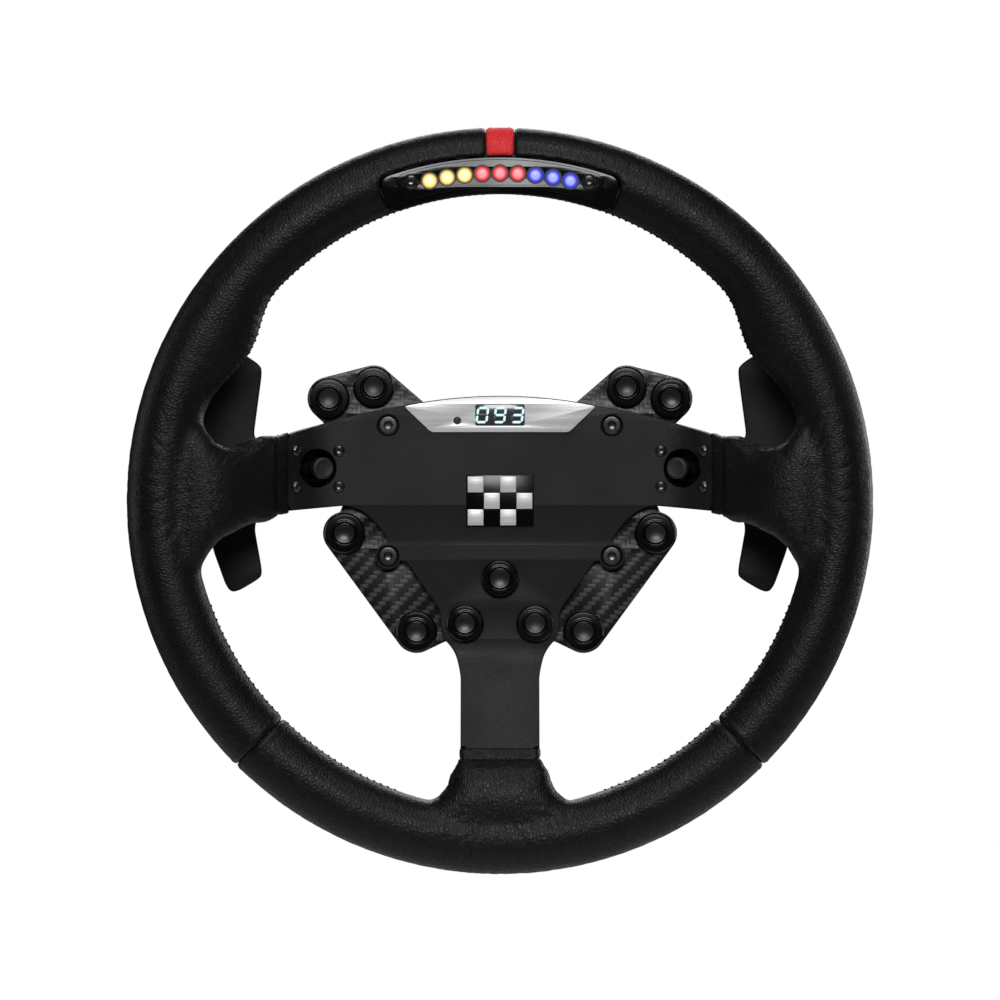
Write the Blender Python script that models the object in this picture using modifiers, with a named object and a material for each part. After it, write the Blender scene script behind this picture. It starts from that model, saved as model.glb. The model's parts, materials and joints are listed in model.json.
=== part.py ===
"""Sim-racing steering wheel with shift paddles, buttons, joysticks and a rev-light bar.

Frame: the origin is the centre of the hub's rear mounting face, +Z is up, +X is the driver's right
and the driver sits on the -Y side.  Sizes below are millimetres; MM turns them into metres where a
mesh is made.  "Height" of a turned piece is measured toward the driver from the face it stands on.
"""
import math

import bmesh
import bpy
from mathutils import Matrix, Vector

MM = 0.001

# ---- driving dimensions ------------------------------------------------------------------------
GAP = 0.3                    # between pieces that touch
RIM_OUTER_RADIUS = 165.0     # a 330 mm rim
RIM_TUBE_RADIUS = 14.7       # section of the covered rim
LEATHER = 1.3                # leather cover
THUMB_SWELL = 7.3            # inward swell of the grip above each spoke
THUMB_ANGLE = 59.5           # middle of the swell, degrees from the top
THUMB_SPAN = 13.5            # half its length, degrees
SEAM_ANGLE = 135.0           # cross seams between side and bottom leather, degrees from the top
MARKER_HALF_ANGLE = 2.25     # red centre band

PLATE = 5.0                  # spoke frame thickness
CARBON = 2.5                 # button carrier thickness
HOUSING_DEPTH = 21.4         # electronics housing
HOUSING_WALL = 2.5
ADAPTER_LENGTH = 44.0        # hub adapter, from its rear face to its flange face
BEND_ANGLE = math.radians(28.0)
BEND_RUN = 14.0              # length of each bend, measured across the wheel
STRAIGHT_RUN = 34.0          # sloped stretch between the two bends
SIDE_BEND = 72.0             # the side arms start to bend here, from the centre
BOTTOM_BEND = 61.0           # and the lower arm here
RING_HALF_WIDTH = 6.0        # steel ring inside the rim
BOTTOM_ARM = 17.5            # half width of the lower arm
ARM_STEP = 2.3               # the arms are narrower under the leather

SCREW_HEAD = 4.25            # M5 low head, radius
SCREW_HEAD_HEIGHT = 3.3
SCREW_SHANK = 2.5
SCREW_LENGTH = 14.0
COUNTERBORE = SCREW_HEAD + GAP            # radius
COUNTERBORE_DEPTH = SCREW_HEAD_HEIGHT + GAP
SCREW_BOSS = COUNTERBORE + 1.35           # radius of the lug around a lower screw
SCREW_SOCKET = (1.9, 1.8)    # radius, depth

CARBON_COLLAR = 9.15         # collar radius of the buttons on the carrier
FRAME_COLLAR = 8.35          # and of those on the spoke frame
CAP_RADIUS = 4.55
COLLAR_RING = CAP_RADIUS + GAP + 0.8      # raised ring around a cap, radius
COLLAR_HEIGHT = 3.3
RING_HEIGHT = 4.5
CAP_HEIGHT = 4.9
CAP_DEPTH = 9.0              # whole length of a cap
BARREL_RADIUS = CAP_RADIUS + GAP + 1.15   # threaded barrel behind a collar
BARREL_LENGTH = 12.5
BUTTON_TRAVEL = 1.5

STICK_HOLE = 8.5             # radius
STICK_LEAN = math.radians(20.0)
STICK_PIVOT_DEPTH = 12.0     # pivot behind the frame's front face
STICK_BODY = 10.0            # half width of the joystick body
STICK_BODY_DEPTH = 12.0
STICK_WELL = 8.7             # radius of its well
KNOB_RADIUS = 4.85
KNOB_TOP = 8.5
KNOB_BASE = 3.0
STEM_RADIUS = 2.0
KNOB_TRAVEL = 0.8

PADDLE = 3.0                 # blade thickness
PIN_RADIUS = 2.0
PADDLE_BARREL = PIN_RADIUS + 2.0          # radius
BARREL_SPAN = (5.0, 23.0)    # hinge barrel, bottom and top
BRACKET_LUG = 5.0
BRACKET_BASE = 3.0
PIN_OFFSET = 8.0             # pin axis outside the housing's side

LED_BAR_HALF_ANGLE = 20.8
LED_BAR_DEPTH = 8.0
LED_COVER_HALF_ANGLE = 18.1
LED_COVER = 1.5
LED_PITCH = 3.1              # degrees
LED_RADIUS = 2.5
LED_COUNT = 9
LED_SCREW_ANGLE = 15.6
LED_SCREW = 1.5              # radius of its thread
LED_WELL_WALL = 1.6          # of the housing around the light strip
LED_STRIP_INSET = 2.4        # light strip inside the cover's edges

DISPLAY_WINDOW = (11.0, 4.75)      # half width, half height
DISPLAY_CENTRE = 38.2
BEZEL = 1.0
BEZEL_BOTTOM = 30.6
BADGE_HALF = (15.0, 11.5)    # half width, half height
BADGE = 1.0
BOARD = 1.6                  # circuit board thickness

HUB_RADIUS = 25.0
FLANGE_RADIUS = 35.0
FLANGE = 5.5                 # flange thickness
RELEASE_RING = 32.0          # radius
RELEASE_RING_HALF = 7.0      # half its length
RELEASE_RING_PLACE = 19.0    # its middle, from the hub's rear face

STEPS = 12                   # sides of a small round piece
WIDE_STEPS = 24
RIM_SEGMENTS = 48
TUBE_SEGMENTS = 12
BEND_STEPS = 3               # flat strips in each bend
LAMP_SIDES = 8
SLEEVE_SIDES = 12

# ---- places that follow from them ---------------------------------------------------------------
RIM_RADIUS = RIM_OUTER_RADIUS - RIM_TUBE_RADIUS
RING_INNER = RIM_RADIUS - RING_HALF_WIDTH
RING_OUTER = RIM_RADIUS + RING_HALF_WIDTH
HOUSING_BACK = -ADAPTER_LENGTH - GAP
HOUSING_FRONT = HOUSING_BACK - HOUSING_DEPTH
CARBON_BACK = HOUSING_FRONT - GAP
CARBON_FRONT = CARBON_BACK - CARBON
PLATE_BACK = CARBON_FRONT - GAP
PLATE_FRONT = PLATE_BACK - PLATE
PLATE_MIDDLE = (PLATE_BACK + PLATE_FRONT) / 2
BEND_RADIUS = BEND_RUN / math.sin(BEND_ANGLE)
DISH = 2 * BEND_RADIUS * (1 - math.cos(BEND_ANGLE)) + STRAIGHT_RUN * math.tan(BEND_ANGLE)
RIM_MIDDLE = PLATE_MIDDLE - DISH
RIM_FRONT = RIM_MIDDLE - RIM_TUBE_RADIUS
LED_BAR_INNER = RIM_RADIUS - 15.1
LED_BAR_OUTER = RIM_RADIUS + 1.2
LED_COVER_INNER = RIM_RADIUS - 12.5
LED_COVER_OUTER = RIM_RADIUS - 0.1
LED_ROW_RADIUS = RIM_RADIUS - 6.2
LED_SCREW_ROW = RIM_RADIUS - 4.7
LED_COVER_FRONT = RIM_FRONT
LED_BAR_FRONT = LED_COVER_FRONT + LED_COVER + GAP
LED_BAR_BACK = LED_BAR_FRONT + LED_BAR_DEPTH
SIDE_HEM = RIM_RADIUS - 56.6
BOTTOM_HEM = RIM_RADIUS - 41.3

FRAME_SCREWS = [(49.8, 33.6), (49.8, -24.6)]
CARBON_BUTTONS = {"upper_outer": (76.2, 45.7), "upper_inner": (56.3, 50.8),
                  "lower_outer": (69.3, -14.4), "lower_inner": (37.2, -58.2)}
FRAME_BUTTONS = {"button_centre": (0.0, -34.5), "button_centre_left": (-15.6, -54.5),
                 "button_centre_right": (15.6, -54.5)}
STICK_PLACE = (81.0, 14.5)
HOUSING_HALF = [(52, 38.5), (57, 34), (57, -26), (50, -33), (26, -50), (25.5, -60), (20, -66.5)]
HOUSING_SIDE = max(x for x, z in HOUSING_HALF)

FINISHES = {
    "anodised_black": ((0.022, 0.023, 0.025), 0.55, 0.7),
    "leather_black": ((0.018, 0.018, 0.019), 0.5, 0.0),
    "leather_red": ((0.66, 0.05, 0.055), 0.5, 0.0),
    "foam_grey": ((0.08, 0.08, 0.08), 0.9, 0.0),
    "carbon_fibre": ((0.03, 0.03, 0.032), 0.35, 0.0),
    "plastic_black": ((0.012, 0.012, 0.013), 0.4, 0.0),
    "cap_black": ((0.03, 0.03, 0.032), 0.35, 0.0),
    "steel_black": ((0.03, 0.03, 0.03), 0.35, 0.9),
    "aluminium": ((0.62, 0.63, 0.64), 0.35, 1.0),
    "badge_silver": ((0.7, 0.7, 0.71), 0.3, 1.0),
    "display_dark": ((0.01, 0.02, 0.03), 0.2, 0.0),
    "lens": ((0.8, 0.75, 0.6), 0.3, 0.0),
    "board_green": ((0.02, 0.12, 0.05), 0.6, 0.0),
}


# ---- helpers -----------------------------------------------------------------------------------
def clear_scene():
    for obj in list(bpy.data.objects):
        bpy.data.objects.remove(obj, do_unlink=True)


def add_collection(name):
    collection = bpy.data.collections.new(name)
    bpy.context.scene.collection.children.link(collection)
    return collection


def finish(name):
    """The named material, made once."""
    material = bpy.data.materials.get(name)
    if material is None:
        colour, roughness, metallic = FINISHES[name]
        material = bpy.data.materials.new(name)
        material.use_nodes = True
        shader = material.node_tree.nodes["Principled BSDF"]
        shader.inputs["Base Color"].default_value = (*colour, 1.0)
        shader.inputs["Roughness"].default_value = roughness
        shader.inputs["Metallic"].default_value = metallic
    return material


def add_piece(name, mesh, look, origin=(0.0, 0.0, 0.0)):
    """A node of the wheel whose mesh is in world place; the origin moves to the given point."""
    place = Vector(origin) * MM
    mesh.transform(Matrix.Translation(-place))
    obj = bpy.data.objects.new(name, mesh)
    obj.location = place
    mesh.materials.clear()
    mesh.materials.append(finish(look))
    PARTS.objects.link(obj)
    return obj


def add_cutter(name, mesh):
    obj = bpy.data.objects.new(name, mesh)
    obj.hide_render = True
    obj.display_type = "WIRE"
    CUTTERS.objects.link(obj)
    return obj


def boolean(obj, tool, operation="DIFFERENCE"):
    modifier = obj.modifiers.new(operation.lower(), "BOOLEAN")
    modifier.operation = operation
    modifier.solver = "EXACT"
    modifier.object = tool
    return modifier


def baked_mesh(obj):
    """The object's evaluated mesh, with points closer than a hundredth of a millimetre merged."""
    bpy.context.view_layer.update()
    evaluated = obj.evaluated_get(bpy.context.evaluated_depsgraph_get())
    mesh = bpy.data.meshes.new_from_object(evaluated)
    welded = bmesh.new()
    welded.from_mesh(mesh)
    bmesh.ops.remove_doubles(welded, verts=welded.verts, dist=0.00001)
    welded.to_mesh(mesh)
    welded.free()
    return mesh


def arc(centre, radius, start, end, count):
    """Points on an arc; angles are degrees anticlockwise from +X."""
    points = []
    for step in range(count + 1):
        angle = math.radians(start + (end - start) * step / count)
        points.append((centre[0] + radius * math.cos(angle), centre[1] + radius * math.sin(angle)))
    return points


def circle(centre, radius, count=STEPS):
    return arc(centre, radius, 0, 360, count)[:-1]


def mirrored(points):
    return [(-x, z) for x, z in reversed(points)]


def both_sides(half):
    """A closed outline from its right half, listed from the top of the centre line to the bottom."""
    left = [(-x, z) for x, z in reversed(half) if abs(x) > 1e-6]
    return half + left


def plate_mesh(name, loops, thickness, middle):
    """A flat plate across the wheel; the first loop is its outline and the others are holes."""
    curve = bpy.data.curves.new(name, "CURVE")
    curve.dimensions = "2D"
    curve.fill_mode = "BOTH"
    curve.extrude = thickness / 2 * MM
    for loop in loops:
        spline = curve.splines.new("POLY")
        spline.points.add(len(loop) - 1)
        spline.use_cyclic_u = True
        for point, (x, z) in zip(spline.points, loop):
            point.co = (x * MM, z * MM, 0.0, 1.0)
    outline = add_cutter(name + "_outline", curve)
    mesh = baked_mesh(outline)
    bpy.data.objects.remove(outline, do_unlink=True)
    stand = Matrix.Translation((0, middle * MM, 0)) @ Matrix.Rotation(math.radians(90), 4, "X")
    mesh.transform(stand)
    return mesh


def rod_mesh(places, radius, front, back, steps=STEPS):
    """Round rods along Y, one at each (x, z)."""
    rods = bmesh.new()
    for x, z in places:
        place = Matrix.Translation(Vector((x, (front + back) / 2, z)) * MM)
        bmesh.ops.create_cone(rods, cap_ends=True, segments=steps, radius1=radius * MM,
                              radius2=radius * MM, depth=abs(back - front) * MM,
                              matrix=place @ Matrix.Rotation(math.radians(90), 4, "X"))
    mesh = bpy.data.meshes.new("rods")
    rods.to_mesh(mesh)
    rods.free()
    return mesh


def box_mesh(lows, highs):
    """A block between two corners, each given as (x, y, z)."""
    block = bmesh.new()
    size = [high - low for low, high in zip(lows, highs)]
    middle = Vector([(high + low) / 2 for low, high in zip(lows, highs)]) * MM
    scale = Matrix.Diagonal((*[length * MM for length in size], 1.0))
    bmesh.ops.create_cube(block, size=1.0, matrix=Matrix.Translation(middle) @ scale)
    mesh = bpy.data.meshes.new("block")
    block.to_mesh(mesh)
    block.free()
    return mesh


def turned(name, profile, place, look, lean=0.0, steps=STEPS):
    """A body turned about an axis toward the driver; profile rows are (radius, height).

    A profile that ends where it starts makes a ring."""
    mesh = bpy.data.meshes.new(name)
    closed = profile[0] == profile[-1]
    rows = profile[:-1] if closed else profile
    points = [(radius * MM, 0.0, height * MM) for radius, height in rows]
    edges = [(i, i + 1) for i in range(len(points) - 1)]
    if closed:
        edges.append((len(points) - 1, 0))
    mesh.from_pydata(points, edges, [])
    obj = add_piece(name, mesh, look)
    obj.location = Vector(place) * MM
    obj.rotation_euler = (math.radians(90), 0.0, lean)
    screw = obj.modifiers.new("turn", "SCREW")
    screw.axis = "Z"
    screw.steps = steps
    screw.render_steps = steps
    screw.use_merge_vertices = True
    screw.merge_threshold = 0.00001
    screw.use_smooth_shade = True
    return obj


# ---- spoke frame -------------------------------------------------------------------------------
def dish(distance):
    """How far the frame has come toward the driver at a distance past the start of its bend."""
    bend_rise = BEND_RADIUS * (1 - math.cos(BEND_ANGLE))
    if distance <= 0:
        return 0.0
    if distance < BEND_RUN:
        return BEND_RADIUS * (1 - math.sqrt(1 - (distance / BEND_RADIUS) ** 2))
    if distance < BEND_RUN + STRAIGHT_RUN:
        return bend_rise + (distance - BEND_RUN) * math.tan(BEND_ANGLE)
    left = 2 * BEND_RUN + STRAIGHT_RUN - distance
    if left <= 0:
        return DISH
    return DISH - BEND_RADIUS * (1 - math.sqrt(1 - (left / BEND_RADIUS) ** 2))


def slope(distance):
    """The frame's lean at the same place, in radians."""
    reach = min(distance, 2 * BEND_RUN + STRAIGHT_RUN - distance)
    if reach <= 0:
        return 0.0
    return math.asin(min(reach, BEND_RUN) / BEND_RADIUS)


def bent(point):
    """A point of the flat frame where the bends put it; its depth is counted from the front face."""
    x, y, z = point
    depth = y - PLATE_FRONT
    if math.hypot(x, z) > RING_INNER - 4:
        return Vector((x, y - DISH, z))
    past_side, past_bottom = abs(x) - SIDE_BEND, -z - BOTTOM_BEND
    if past_side > past_bottom:
        lean = slope(past_side)
        return Vector((x + math.copysign(depth * math.sin(lean), x),
                       PLATE_FRONT - dish(past_side) + depth * math.cos(lean), z))
    lean = slope(past_bottom)
    return Vector((x, PLATE_FRONT - dish(past_bottom) + depth * math.cos(lean),
                   z - depth * math.sin(lean)))


def arm_geometry(body):
    """The hub's and arms' faces with their edges and corners, without the ring's."""
    faces = [face for face in body.faces
             if min(math.hypot(vert.co.x, vert.co.z) for vert in face.verts) < (RING_INNER - 4) * MM]
    edges = {edge for face in faces for edge in face.edges}
    corners = {vert for face in faces for vert in face.verts}
    return list(corners) + list(edges) + faces


def hidden_arm(at_hem, at_neck, at_ring):
    """Edge of a side arm under the leather, from the hem to the ring: three heights."""
    ring_x = math.sqrt(RING_INNER ** 2 - at_ring ** 2)
    return [(SIDE_HEM - 0.3, at_hem), (SIDE_HEM + 18.3, at_neck), (ring_x, at_ring)]


def frame_mesh(name, grow=0.0, holes=()):
    """The one-piece frame: hub, three arms bent toward the driver, and the ring in the rim."""
    ring_inner = RING_INNER - grow
    crown = [(x, 46.8 - x ** 2 / 428.0) for x in (0.0, 14.4, 28.8, 43.2)]
    arm_top = [(58.7, 39.7), (72.0, 36.3), (SIDE_HEM - 0.7, 29.8)]
    hidden_top = hidden_arm(27.2 + grow, 20.5 + grow, 16.0 + grow)
    top_angle = math.degrees(math.asin(hidden_top[-1][1] / RING_INNER))
    hidden_top[-1] = arc((0, 0), ring_inner, top_angle, top_angle, 1)[0]
    upper_half = crown + arm_top + hidden_top
    upper_half += arc((0, 0), ring_inner, top_angle, 90, 7)[1:]
    upper_window = upper_half[:-1] + [(0.0, ring_inner)]
    upper_window += [(-x, z) for x, z in reversed(upper_half[1:-1])]

    hidden_low = hidden_arm(-2.0 - grow, -4.5 - grow, -8.0 - grow)
    low_angle = math.degrees(math.asin(hidden_low[-1][1] / RING_INNER))
    hidden_low[-1] = arc((0, 0), ring_inner, low_angle, low_angle, 1)[0]
    arm_low = [(SIDE_HEM - 0.7, -4.4), (72.0, -2.4), (67.2, -2.1)]
    scallop = [(62.1, -3.9), (57.3, -7.6), (53.3, -12.1), (50.0, -17.0)]
    boss = arc(FRAME_SCREWS[1], SCREW_BOSS, 90, -160, 8)
    waist = [(41.8, -26.9), (26.4, -49.0), (26.5, -54.8), (25.2, -61.4), (22.1, -64.1),
             (19.4, -68.0), (BOTTOM_ARM, -75.5), (BOTTOM_ARM, 0.7 - BOTTOM_HEM)]
    narrow = BOTTOM_ARM - ARM_STEP + grow
    root_angle = -math.degrees(math.acos(narrow / RING_INNER))
    waist += [(narrow, 0.3 - BOTTOM_HEM)]
    ring_side = arc((0, 0), ring_inner, root_angle, low_angle, 7)[:-1]
    lower_window = hidden_low[::-1] + arm_low + scallop + boss + waist + ring_side

    outline = circle((0, 0), RING_OUTER + grow, 36)
    loops = [outline, upper_window, lower_window, mirrored(lower_window), *holes]
    mesh = plate_mesh(name, loops, PLATE + 2 * grow, PLATE_MIDDLE)

    body = bmesh.new()
    body.from_mesh(mesh)
    bends = [BEND_RUN * step / BEND_STEPS for step in range(BEND_STEPS + 1)]
    stations = bends + [BEND_RUN + STRAIGHT_RUN + bend for bend in bends]
    for station in stations:
        planes = [((SIDE_BEND + station, 0, 0), (1, 0, 0)), ((-SIDE_BEND - station, 0, 0), (1, 0, 0)),
                  ((0, 0, -BOTTOM_BEND - station), (0, 0, 1))]
        for point, normal in planes:
            bmesh.ops.bisect_plane(body, geom=arm_geometry(body), dist=0.000001,
                                   plane_co=Vector(point) * MM, plane_no=normal)
    for vert in body.verts:
        vert.co = bent(vert.co / MM) * MM
    body.to_mesh(mesh)
    body.free()
    return mesh


def build_frame():
    button_holes = [circle(place, BARREL_RADIUS + GAP) for place in FRAME_BUTTONS.values()]
    screw_holes = [circle((side * x, z), SCREW_SHANK + GAP, 12)
                   for x, z in FRAME_SCREWS for side in (-1, 1)]
    half_width, half_height = DISPLAY_WINDOW
    wide, high = half_width + 1.0, half_height + 0.75
    display_hole = [(-wide, DISPLAY_CENTRE - high), (wide, DISPLAY_CENTRE - high),
                    (wide, DISPLAY_CENTRE + high), (-wide, DISPLAY_CENTRE + high)]
    stick_holes = [[(side * (STICK_PLACE[0] + (x - STICK_PLACE[0]) * math.cos(STICK_LEAN)), z)
                    for x, z in circle(STICK_PLACE, STICK_HOLE, 20)] for side in (-1, 1)]
    mesh = frame_mesh("spoke_frame", 0.0, button_holes + screw_holes + stick_holes + [display_hole])
    frame = add_piece("spoke_frame", mesh, "anodised_black")
    bores = [(side * x, z) for x, z in FRAME_SCREWS for side in (-1, 1)]
    deep = PLATE_FRONT + COUNTERBORE_DEPTH
    boolean(frame, add_cutter("counterbores", rod_mesh(bores, COUNTERBORE, PLATE_FRONT - 5, deep)))


def build_frame_screws():
    names = {(-1, 0): "upper_left", (1, 0): "upper_right", (-1, 1): "lower_left", (1, 1): "lower_right"}
    seat = PLATE_FRONT + COUNTERBORE_DEPTH - GAP
    socket, socket_depth = SCREW_SOCKET
    for row, (x, z) in enumerate(FRAME_SCREWS):
        for side in (-1, 1):
            profile = [(0, SCREW_HEAD_HEIGHT - socket_depth), (socket, SCREW_HEAD_HEIGHT - socket_depth),
                       (socket, SCREW_HEAD_HEIGHT), (SCREW_HEAD, SCREW_HEAD_HEIGHT), (SCREW_HEAD, 0),
                       (SCREW_SHANK, 0), (SCREW_SHANK, -SCREW_LENGTH), (0, -SCREW_LENGTH)]
            turned(f"frame_screw_{names[side, row]}", profile, (side * x, seat, z), "steel_black", steps=12)


# ---- rim ---------------------------------------------------------------------------------------
def thumb_swell(x, z):
    angle = math.degrees(math.atan2(abs(x), z))
    reach = (angle - THUMB_ANGLE) / THUMB_SPAN
    return THUMB_SWELL * math.cos(math.pi / 2 * reach) ** 2 if abs(reach) < 1 else 0.0


def torus_mesh(shrink):
    """The round rim, swollen inward under the driver's thumbs."""
    rim = bmesh.new()
    ring = bmesh.ops.create_circle(rim, segments=TUBE_SEGMENTS, radius=(RIM_TUBE_RADIUS - shrink) * MM)
    bmesh.ops.rotate(rim, verts=ring["verts"], matrix=Matrix.Rotation(math.radians(90), 3, "X"))
    bmesh.ops.translate(rim, verts=ring["verts"], vec=(RIM_RADIUS * MM, 0, 0))
    bmesh.ops.spin(rim, geom=rim.verts[:] + rim.edges[:], angle=2 * math.pi,
                   steps=RIM_SEGMENTS, axis=(0, 0, 1), cent=(0, 0, 0))
    bmesh.ops.remove_doubles(rim, verts=rim.verts, dist=0.00001)
    bmesh.ops.rotate(rim, verts=rim.verts, matrix=Matrix.Rotation(math.radians(90), 3, "X"))
    for vert in rim.verts:
        radius = math.hypot(vert.co.x, vert.co.z) / MM
        inward = (RIM_RADIUS - radius) / RIM_TUBE_RADIUS
        if inward > 0:
            factor = 1 - thumb_swell(vert.co.x, vert.co.z) * inward / radius
            vert.co.x *= factor
            vert.co.z *= factor
        vert.co.y += RIM_MIDDLE * MM
    bmesh.ops.recalc_face_normals(rim, faces=rim.faces)
    bmesh.ops.triangulate(rim, faces=rim.faces, quad_method="FIXED")
    mesh = bpy.data.meshes.new("rim_torus")
    rim.to_mesh(mesh)
    rim.free()
    return mesh


def sleeve_sections(arm):
    """Leather sleeve around an arm: (distance from centre, edge, other edge, half depth, roundness)."""
    hem_depth = PLATE / 2 + GAP + LEATHER
    if arm == "side":
        return [(SIDE_HEM, 30.4, -5.6, hem_depth, 0.2), (SIDE_HEM + 4.4, 28.9, -6.6, hem_depth + 1, 0.3),
                (SIDE_HEM + 9.5, 29.1, -9.2, 8.5, 0.5), (SIDE_HEM + 16.3, 26.6, -10.2, 11.0, 0.6),
                (SIDE_HEM + 24.3, 24.0, -14.0, 12.6, 0.6), (SIDE_HEM + 32.3, 26.0, -19.5, 13.4, 0.6),
                (SIDE_HEM + 39.3, 37.0, -31.0, 13.4, 0.6), (SIDE_HEM + 48.3, 41.0, -38.0, 11.5, 0.6)]
    rows = [(0.0, 17.9, hem_depth, 0.2), (5.8, 18.7, hem_depth + 1, 0.3), (10.7, 21.7, 9.5, 0.5),
            (18.0, 24.0, 12.6, 0.6), (22.0, 28.0, 13.4, 0.6), (29.0, 36.0, 13.4, 0.6), (38.0, 40.0, 11.5, 0.6)]
    return [(BOTTOM_HEM + step, half, -half, depth, bow) for step, half, depth, bow in rows]


def section_at(rows, distance):
    """The section at a distance, between the two rows beside it, or the first row before them."""
    for row, after in zip(rows, rows[1:]):
        if row[0] <= distance <= after[0]:
            share = (distance - row[0]) / (after[0] - row[0])
            return tuple(a + (b - a) * share for a, b in zip(row, after))
    return (distance, *rows[0][1:])


def sleeve_mesh(arm, side, shrink, start):
    """A sleeve lofted through its sections; a shrunken one starts earlier to cut the mouth open."""
    bend = SIDE_BEND if arm == "side" else BOTTOM_BEND
    rows = sleeve_sections(arm)
    sections = [section_at(rows, start)] + [row for row in rows if row[0] > start + 0.01]
    sleeve = bmesh.new()
    rows = []
    for distance, high, low, depth, bow in sections:
        lean = slope(distance - bend)
        front = PLATE_FRONT - dish(distance - bend)
        half_width = (high - low) / 2 - shrink
        half_depth = depth - shrink
        row = []
        for step in range(SLEEVE_SIDES):
            angle = 2 * math.pi * (step + 0.5) / SLEEVE_SIDES
            width = math.copysign(abs(math.cos(angle)) ** bow, math.cos(angle)) * half_width
            rise = math.copysign(abs(math.sin(angle)) ** bow, math.sin(angle)) * half_depth
            across = (high + low) / 2 + width
            depth = PLATE / 2 + rise
            out = distance + depth * math.sin(lean)
            point = (side * out, front + depth * math.cos(lean), across)
            if arm == "bottom":
                point = (across, point[1], -out)
            row.append(sleeve.verts.new(Vector(point) * MM))
        rows.append(row)
    for row, after in zip(rows, rows[1:]):
        for step in range(SLEEVE_SIDES):
            beside = (step + 1) % SLEEVE_SIDES
            sleeve.faces.new((row[step], row[beside], after[beside], after[step]))
    sleeve.faces.new(rows[0])
    sleeve.faces.new(rows[-1])
    bmesh.ops.recalc_face_normals(sleeve, faces=sleeve.faces)
    sides = [face for face in sleeve.faces if len(face.verts) == 4]
    bmesh.ops.triangulate(sleeve, faces=sides, quad_method="FIXED")
    mesh = bpy.data.meshes.new(f"{arm}_sleeve")
    sleeve.to_mesh(mesh)
    sleeve.free()
    return mesh


def rim_body(name, shrink, past_hem):
    """The rim with its three sleeves as one solid, smaller all round by shrink."""
    body = add_cutter(name, torus_mesh(shrink))
    arms = [("side", -1, SIDE_HEM), ("side", 1, SIDE_HEM), ("bottom", 1, BOTTOM_HEM)]
    for arm, side, hem in arms:
        sleeve = add_cutter(f"{name}_{arm}_{side}", sleeve_mesh(arm, side, shrink, hem + past_hem))
        boolean(body, sleeve, "UNION")
    return body


def wedge_mesh(middle_angle, half_angle):
    """A wedge of the wheel, its faces half a gap inside the seams; angles from the top."""
    turn = math.radians(90 - middle_angle)
    tip = GAP / 2 / math.sin(math.radians(half_angle))
    apex = (tip * math.cos(turn), tip * math.sin(turn))
    start, end = 90 - middle_angle - half_angle, 90 - middle_angle + half_angle
    fan = arc(apex, 1.6 * RIM_OUTER_RADIUS, start, end, 6)
    return plate_mesh("wedge", [[apex] + fan], 140, RIM_MIDDLE)


def sector(inner, outer, half_angle, count=10):
    """An arched strip over the top of the wheel; radii in mm, half angle in degrees."""
    high = arc((0, 0), outer, 90 - half_angle, 90 + half_angle, count)
    return high + arc((0, 0), inner, 90 + half_angle, 90 - half_angle, count)


def build_rim():
    pocket_half = LED_BAR_HALF_ANGLE + math.degrees(GAP / LED_BAR_INNER)
    pocket_back = LED_BAR_BACK + GAP
    pocket = plate_mesh("led_bar_pocket", [sector(LED_BAR_INNER - 8, LED_BAR_OUTER + GAP, pocket_half)],
                        30, pocket_back - 15)
    pocket = add_cutter("led_bar_pocket", pocket)

    frame_slot = add_cutter("frame_slot", frame_mesh("frame_slot", GAP))
    foam_solid = rim_body("foam_solid", LEATHER + GAP, 5.0)
    foam = add_piece("rim_foam", baked_mesh(foam_solid), "foam_grey")
    boolean(foam, frame_slot)
    boolean(foam, pocket)

    cover = rim_body("leather_solid", 0.0, 0.0)
    boolean(cover, rim_body("leather_inside", LEATHER, -1.0))
    boolean(cover, pocket)
    shell = baked_mesh(cover)
    half_side = (SEAM_ANGLE - MARKER_HALF_ANGLE) / 2
    panels = {"leather_right": (MARKER_HALF_ANGLE + half_side, half_side, "leather_black"),
              "leather_left": (-MARKER_HALF_ANGLE - half_side, half_side, "leather_black"),
              "leather_bottom": (180, 180 - SEAM_ANGLE, "leather_black"),
              "centre_marker": (0, MARKER_HALF_ANGLE, "leather_red")}
    for name, (middle, half, look) in panels.items():
        panel = add_piece(name, shell.copy(), look)
        boolean(panel, add_cutter(name + "_wedge", wedge_mesh(middle, half)), "INTERSECT")


# ---- rev-light bar -----------------------------------------------------------------------------
def on_bar(radius, angle):
    return radius * math.sin(math.radians(angle)), radius * math.cos(math.radians(angle))


def led_places():
    middle = (LED_COUNT - 1) / 2
    return [on_bar(LED_ROW_RADIUS, (step - middle) * LED_PITCH) for step in range(LED_COUNT)]


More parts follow.
